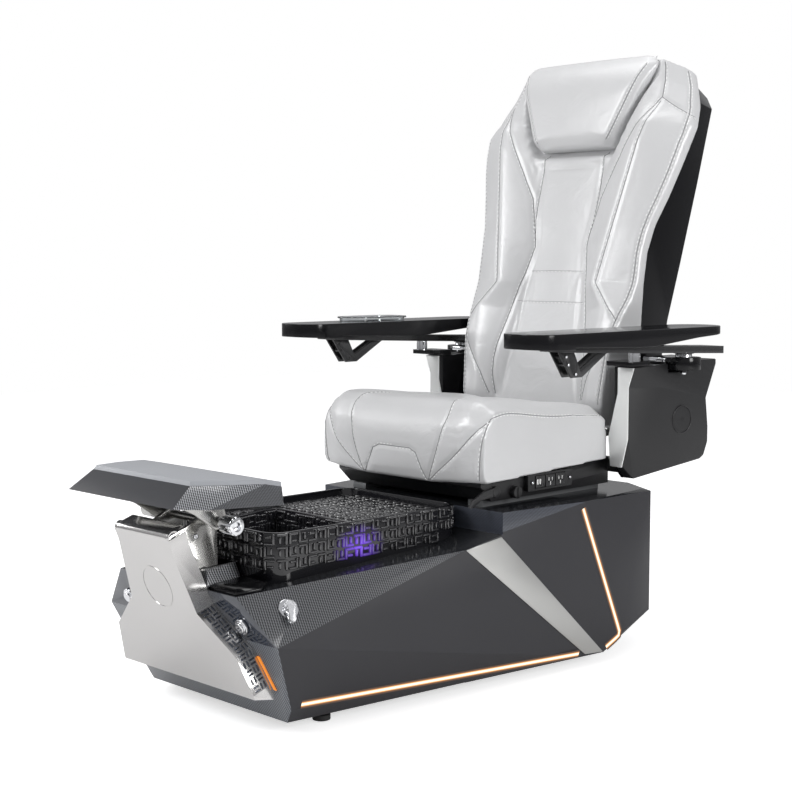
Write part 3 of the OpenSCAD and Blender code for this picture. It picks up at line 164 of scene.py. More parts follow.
for name, place, size, power in (
    ("key", (-1.0, -3.3, 2.7), 1.4, 60),
    ("side", (3.6, 0.4, 1.6), 1.2, 60),
    ("top", (-0.4, 0.4, 3.4), 1.6, 24),
    ("left", (-3.2, -1.6, 1.6), 1.2, 18),
):
    lamp = bpy.data.objects.new(name, bpy.data.lights.new(name, "AREA"))
    lamp.data.size = size
    lamp.data.energy = power
    scene.collection.objects.link(lamp)
    lamp.location = place
    lamp.rotation_mode = "QUATERNION"
    lamp.rotation_quaternion = (AIM - lamp.location).to_track_quat("-Z", "Y")

bpy.ops.mesh.primitive_plane_add(size=14, location=(0, 0, -0.001))
floor = bpy.context.object
floor.name = "floor"
floor_paint = plain("floor_paint")
tree = floor_paint.node_tree
camera_ray = add(tree, "ShaderNodeLightPath").outputs["Is Camera Ray"]
tune(floor_paint, Base_Color=(0.93, 0.93, 0.93, 1), Roughness=0.7, Emission_Color=(1, 1, 1, 1),
     Emission_Strength=reckon(tree, "MULTIPLY", camera_ray, FLOOR_GLOW))
floor.data.materials.append(floor_paint)

# --- Levelling feet -------------------------------------------------------------
# Six screw feet of black rubber on steel studs, threaded into the two chassis rails.
MM = 0.001


def at(x, y, z):
    """A place in millimetres from the base's front edge, in metres in the frame"""
    return Vector((x * MM, y * MM + FRONT_EDGE_Y, z * MM))


def node_group(name, outputs, **numbers):
    """A new shader node group of a place and some numbers, and its two ends"""
    group = bpy.data.node_groups.new(name, "ShaderNodeTree")
    group.interface.new_socket(name="Place", in_out="INPUT", socket_type="NodeSocketVector")
    for label, value in numbers.items():
        socket = group.interface.new_socket(name=label, in_out="INPUT", socket_type="NodeSocketFloat")
        socket.default_value = value
    for label in outputs:
        group.interface.new_socket(name=label, in_out="OUTPUT", socket_type="NodeSocketFloat")
    return group, group.nodes.new("NodeGroupInput"), group.nodes.new("NodeGroupOutput")


def on_object(tree, group, **inputs):
    """A node of this group that takes its places from the object"""
    node = tree.nodes.new("ShaderNodeGroup")
    node.node_tree = group
    feed(tree, node, Place=add(tree, "ShaderNodeTexCoord").outputs["Object"], **inputs)
    return node


def blend(tree, name, factor, low, high):
    """A mix of two colours"""
    mix = tree.nodes.new("ShaderNodeMix")
    mix.name = name
    mix.data_type = "RGBA"
    feed(tree, mix, Factor=factor, A=low, B=high)
    return mix.outputs["Result"]


# Fine unevenness that every moulded, painted or cast surface has
grain, start, end = node_group("surface_grain", ("Mottle", "Height"), Scale=300.0)
broad = add(grain, "ShaderNodeTexNoise", Vector=start.outputs["Place"], Scale=9, Detail=4)
fine = add(grain, "ShaderNodeTexNoise", Vector=start.outputs["Place"], Scale=start.outputs["Scale"], Detail=3)
feed(grain, end, Mottle=broad.outputs["Fac"], Height=fine.outputs["Fac"])


def finish(name, colour, rough, metal=0.0, scale=500.0, bump=0.04, vary=0.06, coat=0.0):
    """A material with a fine grain: its colour, gloss and height vary a little"""
    paint = plain(name)
    tree = paint.node_tree
    surface = on_object(tree, grain, Scale=scale)
    mottle = surface.outputs["Mottle"]
    darker, paler = ((*[min(1, c * k) for c in colour], 1) for k in (1 - vary, 1 + vary))
    gloss = add(tree, "ShaderNodeMapRange", Value=mottle, To_Min=rough * 0.85, To_Max=min(1, rough * 1.15))
    relief = add(tree, "ShaderNodeBump", Strength=bump, Distance=0.0005, Height=surface.outputs["Height"])
    relief.name = "relief"
    return tune(paint, Base_Color=blend(tree, "tint", mottle, darker, paler), Metallic=metal,
                Roughness=gloss.outputs["Result"], Normal=relief.outputs["Normal"],
                Coat_Weight=coat, Coat_Roughness=0.06)


def wear(paint, *names):
    """The CAD nodes show this material"""
    for name in names:
        slots = frame["nodes"][name].material_slots
        if not slots:
            frame["nodes"][name].data.materials.append(None)
        for slot in slots:
            slot.link = "OBJECT"
            slot.material = paint


def put(name, mesh, body, *paints):
    """A new object with this mesh and these materials, riding on a body"""
    piece = bpy.data.objects.new(name, mesh)
    scene.collection.objects.link(piece)
    for paint in paints:
        mesh.materials.append(paint)
    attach(piece, body)
    return piece


def baked(piece):
    """The mesh of an object with its modifiers applied, and the modifiers removed"""
    bpy.context.view_layer.update()
    mesh = bpy.data.meshes.new_from_object(piece.evaluated_get(bpy.context.evaluated_depsgraph_get()))
    piece.modifiers.clear()
    piece.data = mesh
    return mesh


def merged(name):
    """A working copy of a CAD node's mesh as joined flat faces"""
    form = bmesh.new()
    form.from_mesh(frame["nodes"][name].data)
    bmesh.ops.remove_doubles(form, verts=form.verts, dist=2e-5)
    bmesh.ops.dissolve_limit(form, angle_limit=math.radians(0.6), verts=form.verts, edges=form.edges)
    bmesh.ops.recalc_face_normals(form, faces=form.faces)
    return form


def smooth(mesh, angle):
    """Smooth shading, with edges left sharp above an angle in degrees"""
    for face in mesh.polygons:
        face.use_smooth = True
    mesh.set_sharp_from_angle(angle=math.radians(angle))


def meshed(form, name, angle=None):
    """The mesh of a working copy, smooth up to an angle where one is given"""
    mesh = bpy.data.meshes.new(name)
    form.to_mesh(mesh)
    form.free()
    if angle:
        smooth(mesh, angle)
    return mesh


def eased(node, name, radius, *paints, segments=2, form=None, choose=None, angle=30, sharp=32):
    """A copy of a CAD node with its edges rounded, which stands for the node"""
    form = form or merged(node)
    if choose:
        for face in form.faces:
            face.material_index = choose(face.calc_center_median(), face.normal)
    mesh = meshed(form, name)
    piece = put(name, mesh, body_of(frame["nodes"][node])[0], *paints)
    if radius:
        rounding = piece.modifiers.new("rounding", "BEVEL")
        rounding.width = radius * MM
        rounding.segments = segments
        rounding.limit_method = "ANGLE"
        rounding.angle_limit = math.radians(angle)
        rounding.harden_normals = False
        mesh = baked(piece)
    smooth(mesh, sharp)
    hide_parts(node)
    return piece


rubber = finish("rubber", (0.02, 0.02, 0.02), 0.7, scale=900, bump=0.2)
eased("levelling_feet", "rubber_feet", 1.5, rubber)

# --- Chassis --------------------------------------------------------------------
# Two welded box rails with crossbars and the basin's props, in powder-coated steel.
powder_coat = finish("powder_coat", (0.10, 0.105, 0.11), 0.5, scale=1400, bump=0.12)
eased("chassis_rails", "rails", 2, powder_coat)
wear(powder_coat, "chassis_crossbars")

# --- Base shell -----------------------------------------------------------------
# One moulding of black-grey fibreglass. The facets above the crease and part of the
# nose show a carbon weave under lacquer; the rest is matt charcoal.
weave, start, end = node_group("carbon_weave", ("Tow",), Pitch=0.0045)
calc = partial(reckon, weave)
parts = add(weave, "ShaderNodeSeparateXYZ", Vector=start.outputs["Place"]).outputs
sideways = calc("ADD", parts["X"], parts["Y"])
warp = calc("DIVIDE", calc("ADD", sideways, parts["Z"]), start.outputs["Pitch"])
weft = calc("DIVIDE", calc("SUBTRACT", sideways, parts["Z"]), start.outputs["Pitch"])
step = calc("MULTIPLY", calc("FLOOR", weft), 0.25)
wave = calc("SINE", calc("MULTIPLY", calc("ADD", warp, step), math.tau))
swell = calc("MULTIPLY", calc("SINE", calc("MULTIPLY", weft, math.tau)), 0.25)
clipped = add(weave, "ShaderNodeMapRange", Value=calc("ADD", wave, swell), From_Min=-0.5, From_Max=0.6)
clipped.interpolation_type = "SMOOTHSTEP"
feed(weave, end, Tow=clipped.outputs["Result"])


def woven(name, dark, light, pitch, rough):
    """Carbon cloth under lacquer, with tows between two greys"""
    paint = finish(name, dark, rough, scale=1200, bump=0.03, coat=0.5)
    tree = paint.node_tree
    tow = on_object(tree, weave, Pitch=pitch * MM).outputs["Tow"]
    return tune(paint, Base_Color=blend(tree, "tows", tow, tree.nodes["tint"].outputs["Result"], (*light, 1)))


def creased(form, place, normal):
    """New edges where a plane crosses the form"""
    everything = form.verts[:] + form.edges[:] + form.faces[:]
    bmesh.ops.bisect_plane(form, geom=everything, plane_co=place, plane_no=normal)


charcoal = finish("charcoal", (0.020, 0.020, 0.024), 0.42, scale=1600, bump=0.2, vary=0.1)
carbon = woven("carbon", (0.010, 0.010, 0.012), (0.15, 0.155, 0.165), 7.6, 0.34)
nose_gloss = finish("nose_gloss", (0.020, 0.026, 0.040), 0.10, coat=0.9)
# The toe's carbon weave is real; its paler, bluer tone is painted light, for the light that falls on the
# front-facing faces
toe_carbon_and_painted_light = woven("toe_carbon_and_painted_light", (0.035, 0.040, 0.048), (0.22, 0.235, 0.26), 8.0, 0.36)
deck_black = tune(woven("deck_black", (0.006, 0.006, 0.007), (0.028, 0.030, 0.034), 6.0, 0.2),
                  Specular_IOR_Level=0.25, Coat_Weight=0.15)
band_carbon = woven("band_carbon", (0.008, 0.008, 0.010), (0.075, 0.085, 0.11), 5.5, 0.3)
WALL, FACET, NOSE, TOE, DECK, BAND = range(6)
CREASE = at(284, -70, 199)
CREASE_SLOPE = 0.225
NOSE_BACK_Y = at(0, 5, 0).y
DECK_START_Y = at(0, 463, 0).y
DECK_Z = at(0, 0, 325).z
BAND_LOW, BAND_HIGH = at(0, 569, 346), at(0, 814, 388)
BAND_UP = Vector((0, BAND_LOW.z - BAND_HIGH.z, BAND_HIGH.y - BAND_LOW.y)).normalized()
shell_form = merged("base_shell")
creased(shell_form, (0, 0, CREASE.z), (0, 0, 1))
creased(shell_form, BAND_LOW, BAND_UP)


def base_paint(centre, normal):
    """The paint a face wears, by its place in the list that the moulding is given"""
    if normal.y < -0.35 and centre.y < NOSE_BACK_Y:
        # Front faces below the crease take the toe weave, which is painted paler for the light on the front
        return NOSE if centre.z > CREASE.z else TOE
    if normal.y < -0.5 and centre.z > DECK_Z:
        return BAND
    if abs(normal.x) > 0.8 and (centre - BAND_LOW).dot(BAND_UP) > 0 and BAND_LOW.y < centre.y < BAND_HIGH.y:
        return BAND
    if normal.z > 0.9:
        return DECK
    above_crease = CREASE.z + (centre.y - CREASE.y) * CREASE_SLOPE
    if 0.4 < normal.z < 0.9 and centre.z > above_crease - 0.01 and centre.y < DECK_START_Y:
        return FACET
    return WALL


eased("base_shell", "base_moulding", 3, charcoal, carbon, nose_gloss, toe_carbon_and_painted_light, deck_black, band_carbon,
      segments=3, form=shell_form, choose=base_paint, angle=14, sharp=20)

# --- Side trims -----------------------------------------------------------------
# Two wedges of brushed stainless sheet bonded to the base's side walls.
brushed = finish("brushed_steel", (0.53, 0.53, 0.515), 0.34, metal=0.85, scale=60, bump=0.02)
for word in ("right", "left"):
    eased("side_trim_" + word, "trim_" + word, 0.6, brushed)

# --- Light strips ---------------------------------------------------------------
# Warm LED tape behind a frosted lens, in a groove along each side wall. The lens is
# brightest along its middle and turns amber towards its edges.
FLARE = 0.122
HALF_WIDTH = 225
TURN_UP = (250, -8, 57)
TRIM_FOOT = (HALF_WIDTH + FLARE * 818, 818, 27)
LENS_W = 19


def plane_x(a, b, c):
    """X on the plane through three places, as a function of Y and Z"""
    n = (Vector(b) - Vector(a)).cross(Vector(c) - Vector(a))
    return lambda y, z: a[0] - (n.y * (y - a[1]) + n.z * (z - a[2])) / n.x


low_wall = plane_x(TURN_UP, (284, -70, 199), TRIM_FOOT)


def side_wall(y, z):
    """X on the upright wall, the same at every height"""
    return HALF_WIDTH + FLARE * y


# Half of the lens, from its edge to its middle
lens_half = [(0.0, (0.012, 0.009, 0.008)), (0.2, (0.13, 0.05, 0.015)), (0.32, (0.85, 0.36, 0.09)),
             (0.40, (1.0, 0.92, 0.74))]
lens = plain("led_lens")
tree = lens.node_tree
across = add(tree, "ShaderNodeSeparateXYZ", Vector=add(tree, "ShaderNodeUVMap").outputs["UV"])
lens_stops = lens_half + [(1 - v, colour) for v, colour in lens_half[::-1]]
tune(lens, Base_Color=(0.03, 0.03, 0.03, 1), Roughness=0.5, Emission_Strength=1.3,
     Emission_Color=ramp(tree, across.outputs["Y"], lens_stops))


def strip_mesh(side, runs):
    """Flat lenses along runs of (Y, Z) places on a wall, with V running across each lens"""
    form = bmesh.new()
    layer = form.loops.layers.uv.new("lens")
    for wall, places in runs:
        rows = []
        for i, (y, z) in enumerate(places):
            before, after = places[max(0, i - 1)], places[min(len(places) - 1, i + 1)]
            run = Vector((after[0] - before[0], after[1] - before[1])).normalized()
            row = []
            for v in (-0.5, 0.5):
                across_y, across_z = y - run.y * v * LENS_W, z + run.x * v * LENS_W
                row.append(form.verts.new(at(side * (wall(across_y, across_z) + 0.5), across_y, across_z)))
            rows.append(row)
        for a, b in zip(rows, rows[1:]):
            corners = [a[0], b[0], b[1], a[1]] if side > 0 else [a[1], b[1], b[0], a[0]]
            face = form.faces.new(corners)
            for loop in face.loops:
                loop[layer].uv = (0, 0 if loop.vert in (a[0], b[0]) else 1)
    return meshed(form, "light_strips")


for side, word in ((1, "right"), (-1, "left")):
    runs = [
        (low_wall, [(14, 65), (802, 35)]),
        (side_wall, [(814, 374), (872, 230), (930, 86), (937, 68), (935, 58), (921, 50), (893, 36)]),
    ]
    strips = put("light_strips_" + word, strip_mesh(side, runs), "base", lens)
    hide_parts("led_strips_" + word)

# --- Levers and knobs -----------------------------------------------------------
# Chromed levers that open the water valves at the sides, and two flat chromed knobs on
# the nose that set jet and lamp. Each turns on its own spindle.
chrome = finish("chrome", (0.80, 0.81, 0.83), 0.09, metal=1.0, bump=0.0, vary=0.03)
bright_chrome = finish("bright_chrome", (0.88, 0.89, 0.91), 0.22, metal=0.75, bump=0.0, vary=0.02)
eased("escutcheons", "lever_plates", 1.2, chrome)
for word in ("right", "left"):
    eased("lever_" + word, "valve_lever_" + word, 2.5, bright_chrome, segments=3)
    eased("knob_" + word, "nose_knob_" + word, 1.5, chrome, segments=3)

# --- Foot basin -----------------------------------------------------------------
# A gloss black resin tub with a shallow ledge round a deep foot well. Its walls carry
# raised rounded bars laid as a basket weave, and a violet lamp shines through the side.
LAMP = at(183, 235, 345)
glow, start, end = node_group("lamp_glow", ("Glow",), Reach=0.07)
calc = partial(reckon, glow)
parts = add(glow, "ShaderNodeSeparateXYZ", Vector=start.outputs["Place"]).outputs
spread = 0
for axis, middle, stretch in (("X", LAMP.x, 1.0), ("Y", LAMP.y, 0.8), ("Z", LAMP.z, 1.2)):
    offset = calc("MULTIPLY", calc("SUBTRACT", parts[axis], middle), stretch)
    spread = calc("ADD", calc("MULTIPLY", offset, offset), spread)
near = calc("SUBTRACT", 1, calc("DIVIDE", calc("SQRT", spread), start.outputs["Reach"]))
feed(glow, end, Glow=calc("POWER", calc("MAXIMUM", near, 0), 1.6))


def lit(paint, reach, strength):
    """The violet lamp shines through this material"""
    tree = paint.node_tree
    shine = on_object(tree, glow, Reach=reach).outputs["Glow"]
    return tune(paint, Emission_Color=(0.22, 0.07, 0.95, 1),
                Emission_Strength=reckon(tree, "MULTIPLY", shine, strength))


resin = lit(finish("basin_resin", (0.008, 0.008, 0.010), 0.10, scale=250, bump=0.10, coat=0.5), 0.05, 0.05)
bar_resin = lit(finish("bar_resin", (0.02, 0.02, 0.022), 0.10, scale=250, bump=0.02, coat=1.0), 0.062, 1.0)
tune(bar_resin, Specular_IOR_Level=0.9)
eased("basin", "basin_tub", 2.5, resin, segments=3)

# The relief's unit is a hook of three bars, each given as X, Y, length and turn
HOOK = ((0, -9, 24, 0), (-9, 0, 24, 90), (4.4, 1.8, 15, 90))
BAR_W, BAR_H = 5.6, 4.2
CELL = 26
X, Y, Z = (Vector(row) for row in Matrix.Identity(3))


def lofted(form, loops, closed=True):
    """Faces between each loop of corners and the next"""
    for low, high in zip(loops, loops[1:]):
        for i in range(len(low) if closed else len(low) - 1):
            j = (i + 1) % len(low)
            form.faces.new((low[i], low[j], high[j], high[i]))


def pill(name, length, width, depth, rings=8):
    """A bar with round ends lying on its back, along X, standing out along Z"""
    form = bmesh.new()
    levels = ((1.0, 0.0), (0.92, 0.62), (0.62, 0.93), (0.28, 1.0))
    loops = []
    for shrink, rise in levels:
        loop = []
        for end_sign in (1, -1):
            for i in range(rings + 1):
                a = math.pi * (i / rings - 0.5)
                x = end_sign * ((length - width) / 2 + width / 2 * shrink * math.cos(a))
                y = end_sign * width / 2 * shrink * math.sin(a)
                loop.append(form.verts.new((x * MM, y * MM, rise * depth * MM)))
        loops.append(loop)
    lofted(form, loops)
    form.faces.new(loops[-1])
    return meshed(form, name, 60)


def hook_mesh():
    """A flat hook of joined round-ended bars"""
    form = bmesh.new()
    for x, y, length, turn_deg in HOOK:
        bar = pill("hook_bar", length, BAR_W, BAR_H, 6)
        turn = Matrix.Rotation(math.radians(turn_deg), 4, "Z")
        bar.transform(Matrix.Translation((x * MM, y * MM, 0)) @ turn)
        form.from_mesh(bar)
        bpy.data.meshes.remove(bar)
    return meshed(form, "relief_hook", 60)


def laid(name, body, unit_mesh, places, paint):
    """One mesh of copies of the unit, each at a place given as a 4 x 4 matrix"""
    unit = bpy.data.objects.new(name + "_unit", unit_mesh)
    spots = bpy.data.meshes.new(name + "_spots")
    spots.from_pydata([m.translation for m in places], [], [])
    turns = spots.attributes.new("turn", "FLOAT_VECTOR", "POINT")
    turns.data.foreach_set("vector", [v for m in places for v in m.to_euler("XYZ")])
    tree = bpy.data.node_groups.new(name + "_laying", "GeometryNodeTree")
    for label, kind in (("Geometry", "Geometry"), ("Unit", "Object"), ("Finish", "Material")):
        tree.interface.new_socket(name=label, in_out="INPUT", socket_type="NodeSocket" + kind)
    tree.interface.new_socket(name="Geometry", in_out="OUTPUT", socket_type="NodeSocketGeometry")
    start, end = tree.nodes.new("NodeGroupInput"), tree.nodes.new("NodeGroupOutput")
    turn = add(tree, "GeometryNodeInputNamedAttribute", Name="turn")
    turn.data_type = "FLOAT_VECTOR"
    points = add(tree, "GeometryNodeMeshToPoints", Mesh=start.outputs["Geometry"])
    source = add(tree, "GeometryNodeObjectInfo", Object=start.outputs["Unit"])
    copies = add(tree, "GeometryNodeInstanceOnPoints", Points=points.outputs["Points"],
                 Instance=source.outputs["Geometry"], Rotation=turn.outputs["Attribute"])
    real = add(tree, "GeometryNodeRealizeInstances", Geometry=copies.outputs["Instances"])
    painted = add(tree, "GeometryNodeSetMaterial", Geometry=real.outputs["Geometry"],
                  Material=start.outputs["Finish"])
    feed(tree, end, Geometry=painted.outputs["Geometry"])
    piece = bpy.data.objects.new(name, spots)
    scene.collection.objects.link(piece)
    laying = piece.modifiers.new("laying", "NODES")
    laying.node_group = tree
    inputs = {item.name: item.identifier for item in tree.interface.items_tree if item.in_out == "INPUT"}
    laying[inputs["Unit"]] = unit
    laying[inputs["Finish"]] = paint
    mesh = baked(piece)
    if "turn" in mesh.attributes:
        mesh.attributes.remove(mesh.attributes["turn"])
    bpy.data.objects.remove(unit)
    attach(piece, body)
    return piece


def facing(place, along_line, out):
    """The matrix that puts a unit at a place, its X along a line and its Z outwards"""
    z = out.normalized()
    x = (along_line - z * along_line.dot(z)).normalized()
    y = z.cross(x)
    return Matrix.Translation(place) @ Matrix((x, y, z)).transposed().to_4x4()


def basket(outline, z_low, z_high):
    """Hooks in even rows round an upright wall, each turned a quarter more than the last.
    The outline gives places, normals and directions."""
    places = []
    for column, (spot, out, run) in enumerate(outline):
        row = 0
        while (z := z_high(spot) - (row + 0.5) * CELL * MM) >= z_low(spot) + CELL * 0.5 * MM:
            line = (run, Z, -run, -Z)[(column + 2 * row + column * row) % 4]
            places.append(facing(Vector((spot.x, spot.y, z)), line, out))
            row += 1
    return places


def rounded_outline(x0, x1, y0, y1, r, pitch):
    """Places, outward normals and directions at even steps round a rounded rectangle"""
    corners = [(x1 - r, y0 + r, -90), (x1 - r, y1 - r, 0), (x0 + r, y1 - r, 90), (x0 + r, y0 + r, 180)]
    points = []
    for cx, cy, start_deg in corners:
        for i in range(25):
            a = math.radians(start_deg + 90 * i / 24)
            out = Vector((math.cos(a), math.sin(a)))
            points.append((Vector((cx, cy)) + r * out, out))
    points.append(points[0])
    total = sum((b[0] - a[0]).length for a, b in zip(points, points[1:]))
    count = 2 * round(total / pitch / 2)
    result = []
    walked, target = 0.0, 0.0
    for a, b in zip(points, points[1:]):
        length = (b[0] - a[0]).length
        while length > 0 and target <= walked + length and len(result) < count:
            t = (target - walked) / length
            place = a[0].lerp(b[0], t)
            out = a[1].lerp(b[1], t).normalized()
            run = Vector((-out.y, out.x, 0))
            result.append((at(place.x, place.y, 0), Vector((out.x, out.y, 0)), run))
            target += total / count
        walked += length
    return result


BASIN_HALF, BASIN_FRONT, BASIN_REAR, BASIN_R = 183, 5, 550, 46
RIM_Z = 399
LEDGE_Z = 380
WELL_Z = 176
# Corners of the well, drawn from its front left
WELL = ((-95, 45), (95, 45), (151, 262), (151, 292), (-151, 292), (-151, 262))
# The jet's cover takes this much of the well's front wall
JET_HALF = 62
# Y and Z of the nose's crease, of its top edge and of the deck's start
NOSE_CREASE, NOSE_EDGE, DECK_EDGE = (-70, 199), (-103, 291), (463, 319)


def deck_height(spot):
    """Height of the nose deck below a place on the basin's wall"""
    (y0, z0), (y1, z1) = NOSE_EDGE, DECK_EDGE
    y = (spot.y - FRONT_EDGE_Y) / MM
    return (z0 + (z1 - z0) * (y - y0) / (y1 - y0)) * MM


def well_half(y):
    """Half the well's width at Y"""
    (x0, y0), (x1, y1) = WELL[1:3]
    return x0 + (x1 - x0) * min(1, max(0, (y - y0) / (y1 - y0)))


outer = rounded_outline(-BASIN_HALF, BASIN_HALF, BASIN_FRONT, BASIN_REAR, BASIN_R, CELL)
bars = basket(outer, deck_height, lambda spot: (RIM_Z - 1) * MM)
well_walls = []
for a, b in zip(WELL, WELL[1:] + WELL[:1]):
    start, stop = at(*a, 0), at(*b, 0)
    run = (stop - start).normalized()
    count = max(1, round((stop - start).length / (CELL * MM)))
    for i in range(count):
        spot = start.lerp(stop, (i + 0.5) / count)
        if not (abs(spot.x) < JET_HALF * MM and spot.y < at(0, 50, 0).y):
            well_walls.append((spot, Vector((-run.y, run.x, 0)), run))
bars += basket(well_walls, lambda spot: WELL_Z * MM, lambda spot: (LEDGE_Z - 3) * MM)
for i in range(-6, 7):
    for j in range(20):
        x, y = CELL * i, 28 + CELL * j
        if not (30 < y < 307 and abs(x) < well_half(y) + 15):
            line = (X, Y, -X, -Y)[(i + 3 * j + i * j) % 4]
            bars.append(facing(at(x, y, LEDGE_Z), line, Z))
laid("basin_relief", "base", hook_mesh(), bars, bar_resin)

# --- Basin lamps, jet, drain and water fittings ---------------------------------
# Coloured lamps behind the basin's walls, the jet pump with its magnetic impeller, the
# drain with a lift-out stopper, the filling spout and the valves behind the levers.
violet = tune(finish("violet_lamp", (0.3, 0.2, 0.8), 0.3),
              Emission_Color=(0.3, 0.12, 1, 1), Emission_Strength=0.3)
wear(violet, "basin_lights")
jet_black = finish("jet_black", (0.05, 0.05, 0.055), 0.3, scale=700, bump=0.1)
eased("jet_pump", "jet_cover", 1.2, jet_black)
eased("jet_impeller", "impeller_wheel", 0.6, bright_chrome)
pipe_white = finish("pipe_white", (0.70, 0.70, 0.69), 0.45, scale=700, bump=0.08)
eased("drain_pipe", "drain_spigot", 1.0, pipe_white)
eased("drain_stopper", "stopper", 1.0, chrome)
eased("fill_spout", "spout", 1.0, chrome)
brass = finish("brass", (0.55, 0.40, 0.16), 0.35, metal=1.0, scale=200, bump=0.15)
wear(brass, "valve_bodies")
box_grey = finish("box_grey", (0.09, 0.092, 0.098), 0.55, scale=1200, bump=0.2)
eased("control_box", "pump_control", 2, box_grey)

# --- Front shield ---------------------------------------------------------------
# One sheet of polished stainless steel, folded back along both sides and over the top,
# welded to the posts. A bare raised ring is pressed in its middle, and small raised bars
# line the lower part of its side folds.
polished = finish("polished_steel", (0.61, 0.60, 0.592), 0.16, metal=0.97, scale=40, bump=0.006, vary=0.03)
SHIELD_LEAN = math.radians(19)
SHIELD_FOOT = at(0, -78, 86)
SHIELD_UP = Vector((0, -math.sin(SHIELD_LEAN), math.cos(SHIELD_LEAN)))
SHIELD_OUT = Vector((0, -math.cos(SHIELD_LEAN), -math.sin(SHIELD_LEAN)))
shield_form = merged("front_shield")


def on_shield(x, rise, depth):
    """A place across, up and behind the shield's face, in millimetres"""
    return SHIELD_FOOT + (X * x + SHIELD_UP * rise - SHIELD_OUT * depth) * MM


def fold_edges(form, proud):
    """The long edges between the shield's face and its side folds, outside or inside"""
    chosen = []
    for edge in form.edges:
        if len(edge.link_faces) != 2 or edge.calc_length() < 0.018:
            continue
        fronts = [f for f in edge.link_faces if abs(f.normal.dot(SHIELD_OUT)) > 0.97]
        sides = [f for f in edge.link_faces if abs(f.normal.x) > 0.5 and abs(f.normal.dot(SHIELD_OUT)) < 0.3]
        middle = (edge.verts[0].co + edge.verts[1].co) / 2
        out = (middle - SHIELD_FOOT).dot(SHIELD_OUT)
        if fronts and sides and (out > -0.0005) == proud and out > -0.004:
            chosen.append(edge)
    return chosen


for proud, radius in ((True, 3.6), (False, 1.8)):
    bmesh.ops.bevel(shield_form, geom=fold_edges(shield_form, proud), offset=radius * MM, segments=5,
                    profile=0.5, affect="EDGES", clamp_overlap=True)
eased("front_shield", "steel_shield", 0, polished, form=shield_form, sharp=24)


# The sheet rolled back over the shield's upper edge, rounded down at both corners
ROLL_RISE, ROLL_HALF, ROLL_R, ROLL_BACK, CORNER_R, SHEET = 330, 92, 14.4, 44, 12, 2
roll = bmesh.new()
turns = [math.radians(15 * i) for i in range(7)]
section = [(14 - r * math.cos(a), r * math.sin(a)) for r, order in ((ROLL_R, 1), (ROLL_R - SHEET, -1))
           for a in turns[::order]]
section[7:7] = [(ROLL_BACK, ROLL_R), (ROLL_BACK, ROLL_R - SHEET)]
bends = [CORNER_R * math.sin(math.radians(18 * i)) for i in range(6)]
rows = []
for x in [CORNER_R - ROLL_HALF - u for u in bends[::-1]] + [ROLL_HALF - CORNER_R + u for u in bends]:
    u = max(0.0, abs(x) - ROLL_HALF + CORNER_R)
    fall = 1 - (CORNER_R - math.sqrt(max(0, CORNER_R ** 2 - u * u))) / ROLL_R
    rows.append([roll.verts.new(on_shield(x, ROLL_RISE + rise * fall, depth)) for depth, rise in section])
lofted(roll, rows)
roll.faces.new(rows[0])
roll.faces.new(rows[-1][::-1])
bmesh.ops.recalc_face_normals(roll, faces=roll.faces)
put("rolled_top", meshed(roll, "rolled_top", 50), "base", polished)


def ring_mesh(name, outer_r, width, depth, turns=64):
    """A flat ring with rounded edges, lying on its back"""
    form = bmesh.new()
    section = ((0, 0), (0.0, 0.6), (0.25, 1.0), (0.75, 1.0), (1.0, 0.6), (1.0, 0))
    loops = []
    for i in range(turns):
        a = math.tau * i / turns
        around = Vector((math.cos(a), math.sin(a), 0))
        loops.append([form.verts.new((around * (outer_r - s * width) + Z * h * depth) * MM)
                      for s, h in section])
    lofted(form, loops + loops[:1], closed=False)
    bmesh.ops.recalc_face_normals(form, faces=form.faces)
    return meshed(form, name, 60)


laid("shield_ring", "base", ring_mesh("ring", 47, 3, 1.0),
     [facing(on_shield(0, 214, 0), X, SHIELD_OUT)], polished)

# Pairs of bars on the side folds, in two columns; those that would meet the nose are left out
SHIELD_SIDE = ((221, 8), (200, 93), (112, 172))
BAR_PITCH = 17
BAR_APART = 4.2
TOE_SLOPE = 0.437
NOSE_GAP = 0.006
dark_mirror = finish("dark_mirror", (0.09, 0.10, 0.12), 0.12, metal=0.7, bump=0.0, vary=0.2)


def clear_of_nose(spot):
    """Whether a bar here stays in front of the base's nose and toe"""
    (y0, z0), (y1, z1) = NOSE_CREASE, NOSE_EDGE
    nose_y = at(0, y0 + (y1 - y0) * max(0, (spot.z / MM - z0) / (z1 - z0)), 0).y
    return spot.y <= nose_y + (CREASE.z - min(spot.z, CREASE.z)) * TOE_SLOPE - NOSE_GAP


fold_bars = []
for side in (1, -1):
    for (x0, rise0), (x1, rise1) in zip(SHIELD_SIDE, SHIELD_SIDE[1:]):
        start = on_shield(side * x0, rise0, 0)
        run = on_shield(side * x1, rise1, 0) - start
        out = run.cross(SHIELD_OUT).normalized()
        if out.x * side < 0:
            out = -out
        count = round(run.length / (BAR_PITCH * MM))
        for i in range(count):
            for j, depth in enumerate((15, 31)):
                spot = start + run * (i + 0.5) / count - SHIELD_OUT * depth * MM
                if clear_of_nose(spot):
                    line, beside = (run, SHIELD_OUT) if (i + j) % 2 else (SHIELD_OUT, run.normalized())
                    fold_bars += [facing(spot + s * BAR_APART * MM * beside, line, out) for s in (1, -1)]
laid("shield_relief", "base", pill("fold_bar", 14, 4.0, 1.4), fold_bars, dark_mirror)

amber = tune(finish("amber_lens", (0.7, 0.25, 0.03), 0.25),
             Emission_Color=(1.0, 0.28, 0.03, 1), Emission_Strength=0.55)
wear(amber, "amber_light")

